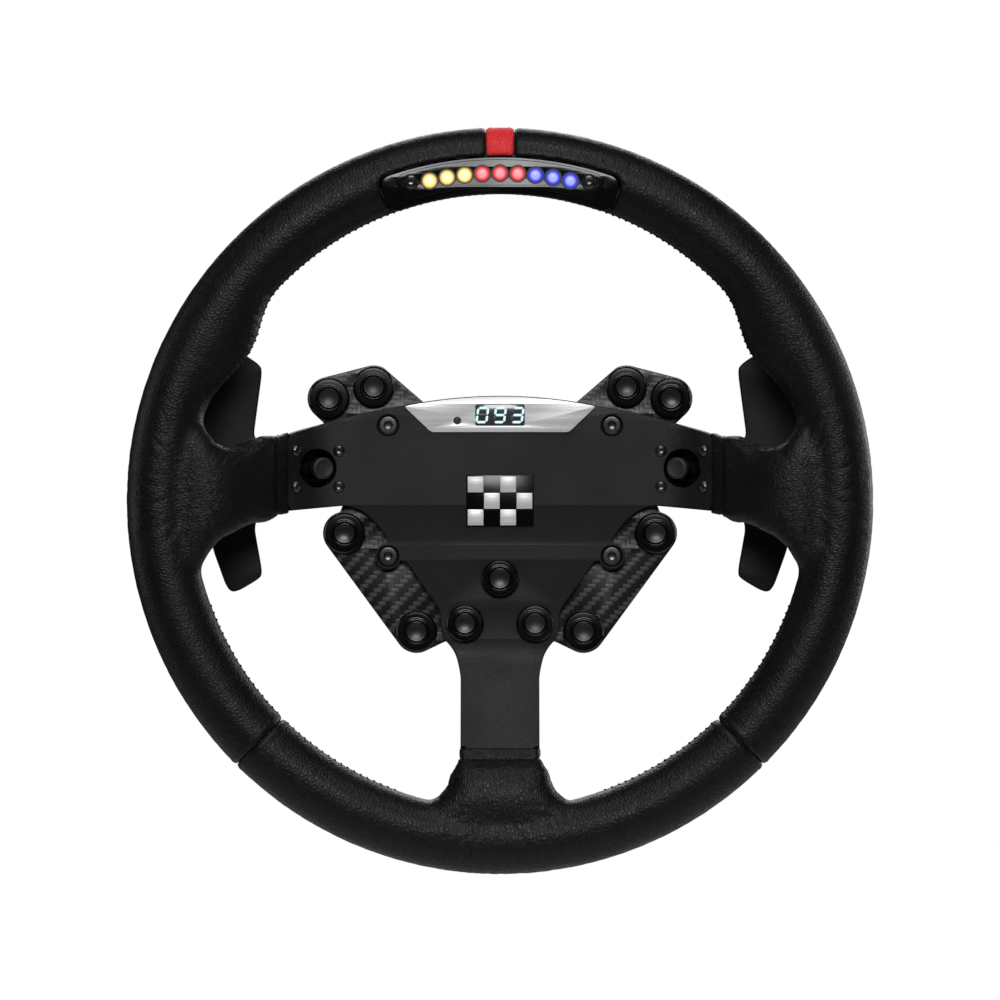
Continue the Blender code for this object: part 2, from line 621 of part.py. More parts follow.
def build_led_bar():
    depth_middle = (LED_BAR_FRONT + LED_BAR_BACK) / 2
    body = sector(LED_BAR_INNER, LED_BAR_OUTER, LED_BAR_HALF_ANGLE)
    housing = add_piece("led_bar_housing", plate_mesh("led_bar", [body], LED_BAR_DEPTH, depth_middle),
                        "plastic_black")
    row_half = (LED_COUNT - 1) / 2 * LED_PITCH
    well = sector(LED_COVER_INNER + LED_WELL_WALL, LED_COVER_OUTER - LED_WELL_WALL, row_half + 1.4)
    well = plate_mesh("led_bar_well", [well], LED_BAR_DEPTH, depth_middle - 1.8)
    boolean(housing, add_cutter("led_bar_well", well))
    screws = [on_bar(LED_SCREW_ROW, side * LED_SCREW_ANGLE) for side in (-1, 1)]
    bores = rod_mesh(screws, LED_SCREW + GAP, LED_BAR_FRONT - 2, LED_BAR_FRONT + 6, LAMP_SIDES)
    boolean(housing, add_cutter("led_bar_bores", bores))

    lamp_holes = [circle(place, LED_RADIUS + GAP, LAMP_SIDES) for place in led_places()]
    screw_holes = [circle(place, LED_SCREW + GAP, LAMP_SIDES) for place in screws]
    outline = sector(LED_COVER_INNER, LED_COVER_OUTER, LED_COVER_HALF_ANGLE)
    cover = plate_mesh("led_bar_cover", [outline] + lamp_holes + screw_holes, LED_COVER,
                       LED_COVER_FRONT + LED_COVER / 2)
    add_piece("led_bar_cover", cover, "plastic_black")

    strip = sector(LED_COVER_INNER + LED_STRIP_INSET, LED_COVER_OUTER - LED_STRIP_INSET, row_half + 1.2)
    guide = plate_mesh("led_light_guide", [strip], 1.5, LED_BAR_FRONT + 1.0)
    guide = add_piece("led_light_guide", guide, "lens")
    lamps = rod_mesh(led_places(), LED_RADIUS, LED_COVER_FRONT, LED_BAR_FRONT + 1.0, LAMP_SIDES)
    boolean(guide, add_cutter("lamps", lamps), "UNION")
    board = plate_mesh("led_board", [strip], BOARD, LED_BAR_FRONT + 4.6)
    add_piece("led_board", board, "board_green")

    for name, (x, z) in zip(("left", "right"), screws):
        profile = [(0, 0.9), (1.2, 0.9), (1.2, 1.7), (2.2, 1.7), (3.45, 0.8), (3.45, 0), (LED_SCREW, 0),
                   (LED_SCREW, -6.5), (0, -6.5)]
        turned(f"led_bar_screw_{name}", profile, (x, LED_COVER_FRONT - GAP, z), "steel_black", steps=12)


# ---- display and badge -------------------------------------------------------------------------
def build_display():
    crown = [(x, 46.4 - x ** 2 / 428.0) for x in (0.0, 14.4, 28.8, 42.8)]
    bezel = both_sides(crown + [(30.7, BEZEL_BOTTOM), (0, BEZEL_BOTTOM)])
    half_width, half_height = DISPLAY_WINDOW
    window = [(-half_width, DISPLAY_CENTRE - half_height), (half_width, DISPLAY_CENTRE - half_height),
              (half_width, DISPLAY_CENTRE + half_height), (-half_width, DISPLAY_CENTRE + half_height)]
    loops = [bezel, window, circle((-19.0, 35.7), 1.7, 12)]
    mesh = plate_mesh("display_bezel", loops, BEZEL, PLATE_FRONT - GAP - BEZEL / 2)
    add_piece("display_bezel", mesh, "aluminium")
    wide, high = half_width + 0.6, half_height + 0.4
    module = box_mesh((-wide, PLATE_FRONT - 0.05, DISPLAY_CENTRE - high),
                      (wide, PLATE_BACK - GAP, DISPLAY_CENTRE + high))
    add_piece("display_module", module, "display_dark")


def build_badge():
    front = PLATE_FRONT - GAP
    wide, high = BADGE_HALF
    badge = box_mesh((-wide, front - BADGE, -high), (wide, front, high))
    add_piece("centre_badge", badge, "badge_silver")


# ---- carbon carrier and buttons ----------------------------------------------------------------
def carbon_outline():
    """Half outline of the X-shaped carrier: round lobes behind four buttons on each side."""
    lobe = CARBON_COLLAR + 0.5
    upper_in, upper_out = CARBON_BUTTONS["upper_inner"], CARBON_BUTTONS["upper_outer"]
    lower_out, lower_in = CARBON_BUTTONS["lower_outer"], CARBON_BUTTONS["lower_inner"]
    half = [(0, 39.5), (30.0, 40.5)]
    half += arc(upper_in, lobe, 118, 76, 3) + arc(upper_out, lobe, 76, -48, 7)
    half += [(70.5, 27.0), (67.5, 5.0)] + arc(lower_out, lobe, 78, -37, 6)
    half += arc(lower_in, lobe, -37, -110, 4) + [(24.0, -62.5), (0, -66.0)]
    return half


def build_carbon():
    places = [(side * x, z) for x, z in CARBON_BUTTONS.values() for side in (-1, 1)]
    places += list(FRAME_BUTTONS.values())
    holes = [circle(place, BARREL_RADIUS + GAP) for place in places]
    holes += [circle((side * x, z), SCREW_SHANK + GAP, 12) for x, z in FRAME_SCREWS for side in (-1, 1)]
    outline = both_sides(carbon_outline())
    mesh = plate_mesh("carbon_plate", [outline] + holes, CARBON, CARBON_FRONT + CARBON / 2)
    add_piece("carbon_plate", mesh, "carbon_fibre")


def add_button(name, place, collar_radius, face):
    """A collar with its threaded barrel, and the cap that slides in it."""
    bore = CAP_RADIUS + GAP
    floor = CAP_HEIGHT - CAP_DEPTH - BUTTON_TRAVEL - 0.5
    collar = [(0, floor), (bore, floor), (bore, RING_HEIGHT), (COLLAR_RING, RING_HEIGHT),
              (COLLAR_RING, COLLAR_HEIGHT), (collar_radius - 0.7, COLLAR_HEIGHT),
              (collar_radius, COLLAR_HEIGHT - 0.9), (collar_radius, GAP), (BARREL_RADIUS, GAP),
              (BARREL_RADIUS, -BARREL_LENGTH), (0, -BARREL_LENGTH)]
    turned(name + "_collar", collar, (place[0], face, place[1]), "plastic_black")
    cap = [(0, CAP_HEIGHT - 0.7), (CAP_RADIUS - 0.7, CAP_HEIGHT), (CAP_RADIUS, CAP_HEIGHT - 0.5),
           (CAP_RADIUS, CAP_HEIGHT - CAP_DEPTH), (0, CAP_HEIGHT - CAP_DEPTH)]
    turned(name + "_cap", cap, (place[0], face, place[1]), "cap_black")


def build_buttons():
    for place_name, (x, z) in CARBON_BUTTONS.items():
        for side_name, side in (("left", -1), ("right", 1)):
            add_button(f"button_{side_name}_{place_name}", (side * x, z), CARBON_COLLAR, CARBON_FRONT)
    for name, place in FRAME_BUTTONS.items():
        add_button(name, place, FRAME_COLLAR, PLATE_FRONT)


# ---- joysticks ---------------------------------------------------------------------------------
def stick_frame(side):
    """Place of a joystick: local -Y is its axis toward the driver, from the frame's front face."""
    x, z = STICK_PLACE
    front = PLATE_FRONT - dish(x - SIDE_BEND)
    turn = Matrix.Rotation(-side * STICK_LEAN, 4, "Z")
    return Matrix.Translation(Vector((side * x, front, z)) * MM) @ turn


def build_joystick(name, side):
    place = stick_frame(side)
    pivot = (place @ Vector((0, STICK_PIVOT_DEPTH * MM, 0))) / MM
    lean = -side * STICK_LEAN
    front = PLATE + 0.9
    back = front + STICK_BODY_DEPTH
    body = box_mesh((-STICK_BODY, front, -STICK_BODY), (STICK_BODY, back, STICK_BODY))
    body.transform(place)
    housing = add_piece(name + "_housing", body, "plastic_black")
    well = rod_mesh([(0, 0)], STICK_WELL, front - 3, back - 1.5, 20)
    well.transform(place)
    boolean(housing, add_cutter(name + "_well", well))

    ring_outer, ring_inner, ring_half = 7.5, 4.6, 1.8
    ring = [(ring_inner, -ring_half), (ring_inner, ring_half), (ring_outer, ring_half),
            (ring_outer, -ring_half), (ring_inner, -ring_half)]
    turned(name + "_gimbal", ring, pivot, "plastic_black", lean)
    stem_top = KNOB_BASE + 2.2 + STICK_PIVOT_DEPTH
    shaft = [(0, stem_top), (STEM_RADIUS, stem_top), (STEM_RADIUS, 3.4), (3.9, 1.0), (3.9, -1.0),
             (2.4, -2.6), (0, -2.6)]
    turned(name + "_shaft", shaft, pivot, "steel_black", lean)
    base = KNOB_BASE + STICK_PIVOT_DEPTH
    top = KNOB_TOP + STICK_PIVOT_DEPTH
    roof = stem_top + KNOB_TRAVEL + 0.4
    bore = STEM_RADIUS + GAP
    knob = [(0, top), (KNOB_RADIUS - 0.7, top), (KNOB_RADIUS, top - 0.7), (KNOB_RADIUS, base + 1.5),
            (KNOB_RADIUS - 1.2, base), (bore, base), (bore, roof), (0, roof)]
    turned(name + "_knob", knob, pivot, "cap_black", lean)


# ---- shift paddles -----------------------------------------------------------------------------
def build_paddle(name, side):
    pin_x = side * (HOUSING_SIDE + PIN_OFFSET)
    pin_y = (HOUSING_BACK + HOUSING_FRONT) / 2 + 5.0
    low, high = BARREL_SPAN
    root = HOUSING_SIDE + PIN_OFFSET
    blade = [(root, 21.5), (100.0, 23.5), (110.8, 27.0), (106.6, 58.5), (108.0, 61.2), (113.2, 64.8),
             (125.5, 72.0), (135.0, 42.0), (133.0, 5.0), (129.3, -20.3), (122.5, -39.3),
             (119.0, -41.4), (108.0, -35.0), (106.5, -32.5), (110.5, -10.0), (100.0, 4.5), (root, 6.5)]
    outline = [(side * x, z) for x, z in blade]
    mesh = plate_mesh(name, [outline], PADDLE, pin_y)
    paddle = add_piece(name, mesh, "anodised_black", (pin_x, pin_y, (low + high) / 2))
    boolean(paddle, add_cutter(name + "_barrel", post_mesh(pin_x, pin_y, PADDLE_BARREL, low, high)), "UNION")
    boolean(paddle, add_cutter(name + "_bore", post_mesh(pin_x, pin_y, PIN_RADIUS + GAP, low - 9, high + 9)))

    wall = HOUSING_SIDE + GAP
    reach = HOUSING_SIDE + PIN_OFFSET + PADDLE_BARREL
    lug_low, lug_high = low - GAP - BRACKET_LUG, high + GAP + BRACKET_LUG
    xs = sorted((side * wall, side * reach))
    bracket = box_mesh((xs[0], pin_y - 5, lug_low), (xs[1], pin_y + 5, lug_high))
    bracket = add_piece(name + "_bracket", bracket, "anodised_black")
    mouth = sorted((side * (wall + BRACKET_BASE), side * (reach + 5)))
    slot = box_mesh((mouth[0], pin_y - 9, low - GAP), (mouth[1], pin_y + 9, high + GAP))
    boolean(bracket, add_cutter(name + "_slot", slot))
    hole = post_mesh(pin_x, pin_y, PIN_RADIUS + GAP, lug_low - 3, lug_high + 3)
    boolean(bracket, add_cutter(name + "_pin_hole", hole))
    pin = post_mesh(pin_x, pin_y, PIN_RADIUS, lug_low - 0.8, lug_high + 0.8)
    add_piece(name + "_pin", pin, "steel_black", (pin_x, pin_y, (low + high) / 2))


def post_mesh(x, y, radius, low, high):
    """An upright round post."""
    post = bmesh.new()
    place = Matrix.Translation(Vector((x, y, (low + high) / 2)) * MM)
    bmesh.ops.create_cone(post, cap_ends=True, segments=STEPS, radius1=radius * MM,
                          radius2=radius * MM, depth=(high - low) * MM, matrix=place)
    mesh = bpy.data.meshes.new("post")
    post.to_mesh(mesh)
    post.free()
    return mesh


# ---- rear housing and hub ----------------------------------------------------------------------
def inset(points, wall):
    """The housing's inner outline: every corner drawn in by a wall, from a centre inside it."""
    return [(max(x - wall, 0), z - math.copysign(wall, z)) for x, z in points]


def build_housing():
    middle = (HOUSING_BACK + HOUSING_FRONT) / 2
    outline = both_sides(HOUSING_HALF)
    housing = add_piece("rear_housing", plate_mesh("rear_housing", [outline], HOUSING_DEPTH, middle),
                        "plastic_black")
    inner = both_sides(inset(HOUSING_HALF, HOUSING_WALL))
    room = plate_mesh("housing_room", [inner], HOUSING_DEPTH, middle - HOUSING_WALL)
    room = add_cutter("housing_room", room)
    places = [(side * x, z) for x, z in FRAME_SCREWS for side in (-1, 1)]
    posts = rod_mesh(places, SCREW_SHANK + 2.6, HOUSING_FRONT - 9, HOUSING_BACK + 9)
    boolean(room, add_cutter("screw_posts", posts))
    boolean(housing, room)
    depth = PLATE_FRONT + COUNTERBORE_DEPTH + SCREW_LENGTH + 1
    bores = rod_mesh(places, SCREW_SHANK + GAP, HOUSING_FRONT - 2, depth, 12)
    boolean(housing, add_cutter("housing_bores", bores))
    board = [(-40, -22), (40, -22), (40, 32), (-40, 32)]
    board = plate_mesh("main_board", [board], BOARD, HOUSING_BACK - HOUSING_WALL - 3.0)
    add_piece("main_board", board, "board_green")


def build_hub():
    length = ADAPTER_LENGTH
    groove = HUB_RADIUS - 1
    profile = [(0, length), (FLANGE_RADIUS - 1, length), (FLANGE_RADIUS, length - 1),
               (FLANGE_RADIUS, length - FLANGE), (HUB_RADIUS, length - FLANGE), (HUB_RADIUS, 8.0),
               (groove, 7.0), (groove, 4.0), (HUB_RADIUS, 3.0), (HUB_RADIUS, 1.0), (groove, 0), (0, 0)]
    turned("hub_adapter", profile, (0, 0, 0), "aluminium", steps=WIDE_STEPS)
    inner, outer, half = HUB_RADIUS + GAP, RELEASE_RING, RELEASE_RING_HALF
    ring = [(inner, -half), (inner, half), (outer - 1, half), (outer, half - 1), (outer, 1 - half),
            (outer - 1, -half), (inner, -half)]
    turned("release_ring", ring, (0, -RELEASE_RING_PLACE, 0), "anodised_black", steps=WIDE_STEPS)


clear_scene()
PARTS = add_collection("racing_wheel")
CUTTERS = add_collection("cutters")
build_frame()
build_frame_screws()
build_rim()
build_led_bar()
build_display()
build_badge()
build_carbon()
build_buttons()
for side_name, side_sign in (("left", -1), ("right", 1)):
    build_joystick(f"joystick_{side_name}", side_sign)
    build_paddle(f"paddle_{side_name}", side_sign)
build_housing()
build_hub()
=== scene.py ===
# %% [markdown]
# # A sim-racing wheel
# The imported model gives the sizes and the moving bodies.  This lesson dresses it: every piece
# that shows is made again with rounded edges, real seams and real finishes, in the same place.
# All lengths in the helpers are millimetres, and they become metres where a mesh is made.

import json
import math

import bmesh
import bpy
import numpy as np
from mathutils import Matrix, Vector, noise
from mathutils.bvhtree import BVHTree

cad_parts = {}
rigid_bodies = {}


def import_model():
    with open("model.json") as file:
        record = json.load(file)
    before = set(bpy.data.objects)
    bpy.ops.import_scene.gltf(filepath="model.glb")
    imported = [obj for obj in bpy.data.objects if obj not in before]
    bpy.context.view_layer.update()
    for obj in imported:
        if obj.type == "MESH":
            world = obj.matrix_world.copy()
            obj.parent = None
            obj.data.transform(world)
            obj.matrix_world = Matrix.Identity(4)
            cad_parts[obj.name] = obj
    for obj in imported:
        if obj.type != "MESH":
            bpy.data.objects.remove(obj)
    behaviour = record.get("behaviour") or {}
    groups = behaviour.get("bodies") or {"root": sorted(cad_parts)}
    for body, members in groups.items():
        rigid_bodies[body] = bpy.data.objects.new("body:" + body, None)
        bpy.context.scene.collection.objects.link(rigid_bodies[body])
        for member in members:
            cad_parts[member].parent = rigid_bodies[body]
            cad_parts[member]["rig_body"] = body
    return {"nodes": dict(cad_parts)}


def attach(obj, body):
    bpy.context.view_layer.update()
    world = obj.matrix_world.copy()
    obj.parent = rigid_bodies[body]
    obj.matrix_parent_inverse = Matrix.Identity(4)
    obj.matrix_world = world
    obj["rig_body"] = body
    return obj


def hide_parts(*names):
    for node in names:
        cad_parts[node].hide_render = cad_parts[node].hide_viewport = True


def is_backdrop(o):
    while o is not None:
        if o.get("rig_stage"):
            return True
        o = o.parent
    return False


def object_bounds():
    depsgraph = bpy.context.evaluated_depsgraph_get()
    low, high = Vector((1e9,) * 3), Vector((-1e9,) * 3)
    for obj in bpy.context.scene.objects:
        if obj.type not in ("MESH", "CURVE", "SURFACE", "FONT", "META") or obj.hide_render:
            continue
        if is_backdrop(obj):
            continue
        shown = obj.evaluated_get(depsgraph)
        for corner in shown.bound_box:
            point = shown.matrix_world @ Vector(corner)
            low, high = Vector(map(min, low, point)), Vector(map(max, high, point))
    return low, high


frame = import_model()
cad_low, cad_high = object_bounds()
MM = 0.001
print("nodes", len(frame["nodes"]), "box", tuple(cad_high - cad_low))

# %% [markdown]
# ## Camera, floor and light
# The wheel is looked at straight from the driver's side with a long lens, so it is nearly flat.
# The main softbox hangs above the camera and keeps the faces readable.  A weak one overhead and
# one at each side draw the thin bright edges of black metal, and two behind light the back.

# %% Camera and stage
RIM_FACE_DISTANCE = 3.0
RIM_PLANE = -0.09636
VIEW_WIDTH = 0.4418
SENSOR = 36.0


def link(obj):
    bpy.context.scene.collection.objects.link(obj)
    return obj


def as_mesh(body, name):
    """Turn a working body into a mesh, and let the body go."""
    mesh = bpy.data.meshes.new(name)
    body.to_mesh(mesh)
    body.free()
    return mesh


def smooth(mesh):
    mesh.polygons.foreach_set("use_smooth", [True] * len(mesh.polygons))
    return mesh


def add_camera():
    data = bpy.data.cameras.new("camera")
    data.sensor_width = SENSOR
    data.lens = SENSOR * RIM_FACE_DISTANCE / VIEW_WIDTH
    data.clip_end = 50.0
    camera = link(bpy.data.objects.new("camera", data))
    camera.location = (0.0, RIM_PLANE - RIM_FACE_DISTANCE, 0.0004)
    camera.rotation_euler = (math.radians(90), 0.0, 0.0)
    bpy.context.scene.camera = camera
    return camera


def add_softbox(name, place, aim, size, power):
    data = bpy.data.lights.new(name, "AREA")
    data.shape = "RECTANGLE"
    data.size, data.size_y = size
    data.energy = power
    lamp = link(bpy.data.objects.new(name, data))
    lamp.location = place
    lamp.rotation_euler = (Vector(aim) - Vector(place)).to_track_quat("-Z", "Y").to_euler()
    return lamp


add_camera()
add_softbox("overhead", (0.0, -0.75, 1.35), (0, -0.08, 0), (1.0, 0.5), 7.0)
add_softbox("front_top", (0.0, -2.5, 0.9), (0, -0.05, 0), (1.2, 0.5), 27.0)
add_softbox("side_left", (-1.5, 0.15, 0.2), (0, -0.05, 0), (0.4, 1.2), 3.0)
add_softbox("side_right", (1.5, 0.15, 0.2), (0, -0.05, 0), (0.4, 1.2), 3.0)
add_softbox("rear", (0.0, 1.8, 1.1), (0, 0, 0), (1.4, 0.9), 15.0)
add_softbox("rear_side", (1.4, 1.4, 0.3), (0, 0, 0), (0.6, 1.2), 9.0)
bpy.context.scene.view_settings.view_transform = "Standard"

# %% World and floor
FLOOR_LEVEL = cad_low.z - 0.12
FLOOR_REACH = 0.85
ROOM_LIGHT = 0.035


def white_world():
    """White to look at, but only a dim grey room for the reflections."""
    world = bpy.data.worlds.new("studio")
    world.use_nodes = True
    nodes, links = world.node_tree.nodes, world.node_tree.links
    room = nodes["Background"]
    paper = nodes.new("ShaderNodeBackground")
    for backdrop, strength in ((room, ROOM_LIGHT), (paper, 1.0)):
        backdrop.inputs["Color"].default_value = (1, 1, 1, 1)
        backdrop.inputs["Strength"].default_value = strength
    path, mix = nodes.new("ShaderNodeLightPath"), nodes.new("ShaderNodeMixShader")
    links.new(path.outputs["Is Camera Ray"], mix.inputs["Fac"])
    links.new(room.outputs["Background"], mix.inputs[1])
    links.new(paper.outputs["Background"], mix.inputs[2])
    links.new(mix.outputs["Shader"], nodes["World Output"].inputs["Surface"])
    bpy.context.scene.world = world


class Finish:
    """A material with a Principled shader, and short ways to add and join nodes."""

    def __init__(self, name, colour, roughness=0.5, metallic=0.0, **sockets):
        self.material = bpy.data.materials.new(name)
        self.material.use_nodes = True
        self.tree = self.material.node_tree
        self.shader = self.tree.nodes["Principled BSDF"]
        self.shader.inputs["Base Color"].default_value = (*colour, 1.0)
        self.shader.inputs["Roughness"].default_value = roughness
        self.shader.inputs["Metallic"].default_value = metallic
        for socket, value in sockets.items():
            self.shader.inputs[socket.replace("_", " ")].default_value = value

    def node(self, kind, inputs=None, output=0, **settings):
        made = self.tree.nodes.new("ShaderNode" + kind)
        for setting, value in settings.items():
            setattr(made, setting, value)
        for socket, value in (inputs or {}).items():
            self.feed(made.inputs[socket], value)
        return made.outputs[output]

    def feed(self, socket, value):
        if isinstance(value, bpy.types.NodeSocket):
            self.tree.links.new(value, socket)
        else:
            socket.default_value = value

    def math(self, operation, first, second=0.0):
        return self.node("Math", {0: first, 1: second}, operation=operation)

    def plus(self, first, second):
        return self.math("ADD", first, second)

    def times(self, first, second):
        return self.math("MULTIPLY", first, second)

    def axes(self, point):
        """The X, Y and Z of a point, as sockets."""
        parts = self.tree.nodes.new("ShaderNodeSeparateXYZ")
        self.feed(parts.inputs[0], point)
        return parts.outputs

    def place(self, scale=(1, 1, 1), source="Object"):
        """Coordinates on the piece in metres, stretched by scale."""
        if source == "Object":
            point = self.node("TexCoord", output="Object")
        else:
            point = self.node("Attribute", output="Vector", attribute_name=source)
        return self.node("Mapping", {"Vector": point, "Scale": scale})

    def noise(self, point, scale, detail=2.0, roughness=0.5):
        inputs = {"Vector": point, "Scale": scale, "Detail": detail, "Roughness": roughness}
        return self.node("TexNoise", inputs)

    def noise_colour(self, point, scale):
        return self.node("TexNoise", {"Vector": point, "Scale": scale, "Detail": 1.0}, output=1)

    def spread(self, value, low, high, new_low=0.0, new_high=1.0):
        """Map low..high onto new_low..new_high, softly at both ends."""
        inputs = {"Value": value, "From Min": low, "From Max": high, "To Min": new_low, "To Max": new_high}
        return self.node("MapRange", inputs, interpolation_type="SMOOTHSTEP")

    def colours(self, share, dark, light):
        mix = self.tree.nodes.new("ShaderNodeMix")
        mix.data_type = "RGBA"
        for index, value in ((0, share), (6, dark), (7, light)):
            self.feed(mix.inputs[index], (*value, 1.0) if isinstance(value, tuple) else value)
        return mix.outputs[2]

    def paint(self, **sockets):
        for socket, value in sockets.items():
            self.feed(self.shader.inputs[socket.replace("_", " ")], value)
        return self

    def relief(self, height, depth, strength=1.0):
        """Bump of the given depth in millimetres."""
        return self.node("Bump", {"Height": height, "Distance": depth * MM, "Strength": strength})


def add_floor():
    disc = bmesh.new()
    bmesh.ops.create_circle(disc, cap_ends=True, segments=96, radius=FLOOR_REACH)
    bmesh.ops.translate(disc, verts=disc.verts, vec=(0, 0, FLOOR_LEVEL))
    mesh = as_mesh(disc, "floor")
    floor = link(bpy.data.objects.new("floor", mesh))
    pale = Finish("pale_floor", (0.93, 0.93, 0.93), 0.7)
    point = pale.place()
    reach = pale.node("VectorMath", {0: point}, output="Value", operation="LENGTH")
    fade = pale.spread(reach, FLOOR_REACH * 0.3, FLOOR_REACH)
    clear = pale.node("BsdfTransparent")
    mix = pale.node("MixShader", {0: fade, 1: pale.shader.outputs[0], 2: clear})
    pale.feed(pale.tree.nodes["Material Output"].inputs["Surface"], mix)
    mesh.materials.append(pale.material)
    floor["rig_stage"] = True


white_world()
add_floor()

# %% [markdown]
# ## Helpers for shapes
# Almost everything here is a plate cut to an outline, or a body turned on a lathe.  A flat curve
# with a bevel makes a plate whose edges, holes included, have a small radius; the bright line
# that such an edge catches is what makes a black part readable.

# %% Outlines
NEARLY_HALF = 0.48
TOUCHING = 1e-6


def arc(centre, radius, start, end, count):
    """Points on an arc; angles in degrees, anticlockwise from +X."""
    angles = np.radians(np.linspace(start, end, count + 1))
    return [(centre[0] + radius * math.cos(a), centre[1] + radius * math.sin(a)) for a in angles]


def circle(centre, radius, count=48):
    return arc(centre, radius, 0, 360, count)[:-1]


def mirrored(points):
    return [(-x, z) for x, z in reversed(points)]


def both_sides(half):
    """A closed outline from its right half, which starts and ends on the centre line."""
    return half + mirrored([(x, z) for x, z in half if abs(x) > TOUCHING])


def rounded(start, corner, end, steps=8):
    """Points on the curve that leaves start toward corner and arrives at end."""
    start, corner, end = (np.array(point, float) for point in (start, corner, end))
    points = [start * (1 - share) ** 2 + corner * 2 * share * (1 - share) + end * share ** 2
              for share in np.linspace(0, 1, steps + 1)]
    return [(float(x), float(z)) for x, z in points]


def soften(points, radius, steps=5, closed=True):
    """Round the corners of an outline or a profile."""
    made, count = [], len(points)
    for index, corner in enumerate(points):
        if not closed and index in (0, count - 1):
            made.append(corner)
            continue
        here = np.array(corner, float)
        before = np.array(points[index - 1], float)
        after = np.array(points[(index + 1) % count], float)
        back, ahead = np.linalg.norm(before - here), np.linalg.norm(after - here)
        start = here + (before - here) / back * min(radius, back * NEARLY_HALF)
        end = here + (after - here) / ahead * min(radius, ahead * NEARLY_HALF)
        made += rounded(start, here, end, steps)
    return made


# %% Plates
SQUARE_ON = 0.999999
UPRIGHT = Matrix.Identity(4)
TOWARD_DRIVER = Matrix.Rotation(math.radians(90), 4, "X")


def tidy_mesh(mesh, angle=32.0):
    """Merge doubles, turn faces outward, and shade smooth all but sharp edges and flat fronts."""
    body = bmesh.new()
    body.from_mesh(mesh)
    bmesh.ops.remove_doubles(body, verts=body.verts, dist=0.000004)
    bmesh.ops.dissolve_degenerate(body, edges=body.edges, dist=0.000001)
    bmesh.ops.recalc_face_normals(body, faces=body.faces)
    body.to_mesh(mesh)
    body.free()
    leaning = [abs(polygon.normal.y) < SQUARE_ON for polygon in mesh.polygons]
    mesh.polygons.foreach_set("use_smooth", leaning)
    mesh.set_sharp_from_angle(angle=math.radians(angle))
    return mesh


def evaluated_mesh(obj):
    bpy.context.view_layer.update()
    graph = bpy.context.evaluated_depsgraph_get()
    return bpy.data.meshes.new_from_object(obj.evaluated_get(graph))


def plate(name, loops, front, back, edge=0.3, rounds=1):
    """A plate across the wheel from front to back (y, mm), its edges rounded by edge."""
    curve = bpy.data.curves.new(name, "CURVE")
    curve.dimensions = "2D"
    curve.fill_mode = "BOTH"
    curve.extrude = (abs(back - front) / 2 - edge) * MM
    curve.bevel_depth, curve.offset = edge * MM, -edge * MM
    curve.bevel_resolution = rounds
    for loop in loops:
        spline = curve.splines.new("POLY")
        spline.points.add(len(loop) - 1)
        spline.use_cyclic_u = True
        rows = [(x * MM, z * MM, 0.0, 1.0) for x, z in loop]
        spline.points.foreach_set("co", [number for row in rows for number in row])
    holder = link(bpy.data.objects.new(name, curve))
    mesh = evaluated_mesh(holder)
    bpy.data.objects.remove(holder)
    mesh.transform(Matrix.Translation((0, (front + back) / 2 * MM, 0)) @ TOWARD_DRIVER)
    return tidy_mesh(mesh)


# %% Turned bodies and joins
def at(place, turn=UPRIGHT):
    """A place in millimetres, with a turn before it."""
    return Matrix.Translation(Vector(place) * MM) @ turn


def bridge(body, rings, sides, closed=False):
    """Faces from each ring of points to the next; a ring may also be a single point."""
    pairs = list(zip(rings, rings[1:])) + ([(rings[-1], rings[0])] if closed else [])
    for ring, after in pairs:
        for side in range(sides):
            beside = (side + 1) % sides
            corners = [ring[side % len(ring)], ring[beside % len(ring)],
                       after[beside % len(after)], after[side % len(after)]]
            corners = list(dict.fromkeys(corners))
            if len(corners) > 2:
                body.faces.new(corners)


def lathe(profile, where, sides=48, edge=0.25, angle=32.0):
    """Turn rows of (radius, height) about an axis; a row that ends where it starts makes a ring."""
    closed = profile[0] == profile[-1]
    rows = profile[:-1] if closed else profile
    rows = soften(rows, edge, 2, closed) if edge else rows
    body = bmesh.new()
    rings = []
    for radius, height in rows:
        if radius < TOUCHING:
            rings.append([body.verts.new((0, 0, height * MM))])
        else:
            rings.append([body.verts.new((x * MM, y * MM, height * MM))
                          for x, y in circle((0, 0), radius, sides)])
    bridge(body, rings, sides, closed)
    mesh = as_mesh(body, "turned")
    mesh.transform(where)
    return tidy_mesh(mesh, angle)


def box(low, high, edge=0.4, where=UPRIGHT):
    """A block between two corners (mm) with rounded edges."""
    body = bmesh.new()
    size = [(b - a) * MM for a, b in zip(low, high)]
    middle = Vector([(a + b) / 2 * MM for a, b in zip(low, high)])
    bmesh.ops.create_cube(body, matrix=Matrix.Translation(middle) @ Matrix.Diagonal((*size, 1.0)))
    bmesh.ops.bevel(body, geom=body.edges[:], offset=edge * MM, segments=2, profile=0.5, affect="EDGES")
    mesh = as_mesh(body, "block")
    mesh.transform(where)
    return tidy_mesh(mesh)


def joined(meshes):
    """Several meshes as one."""
    body = bmesh.new()
    for mesh in meshes:
        body.from_mesh(mesh)
    return as_mesh(body, "joined")


def cut(mesh, tools, operation="DIFFERENCE"):
    """The mesh with each tool taken away, or added."""
    holder = link(bpy.data.objects.new("work", mesh))
    helpers = []
    for tool in tools:
        helper = link(bpy.data.objects.new("tool", tool))
        modifier = holder.modifiers.new("cut", "BOOLEAN")
        modifier.operation, modifier.solver, modifier.object = operation, "EXACT", helper
        helpers.append(helper)
    made = evaluated_mesh(holder)
    for extra in [holder] + helpers:
        bpy.data.objects.remove(extra)
    return tidy_mesh(made)


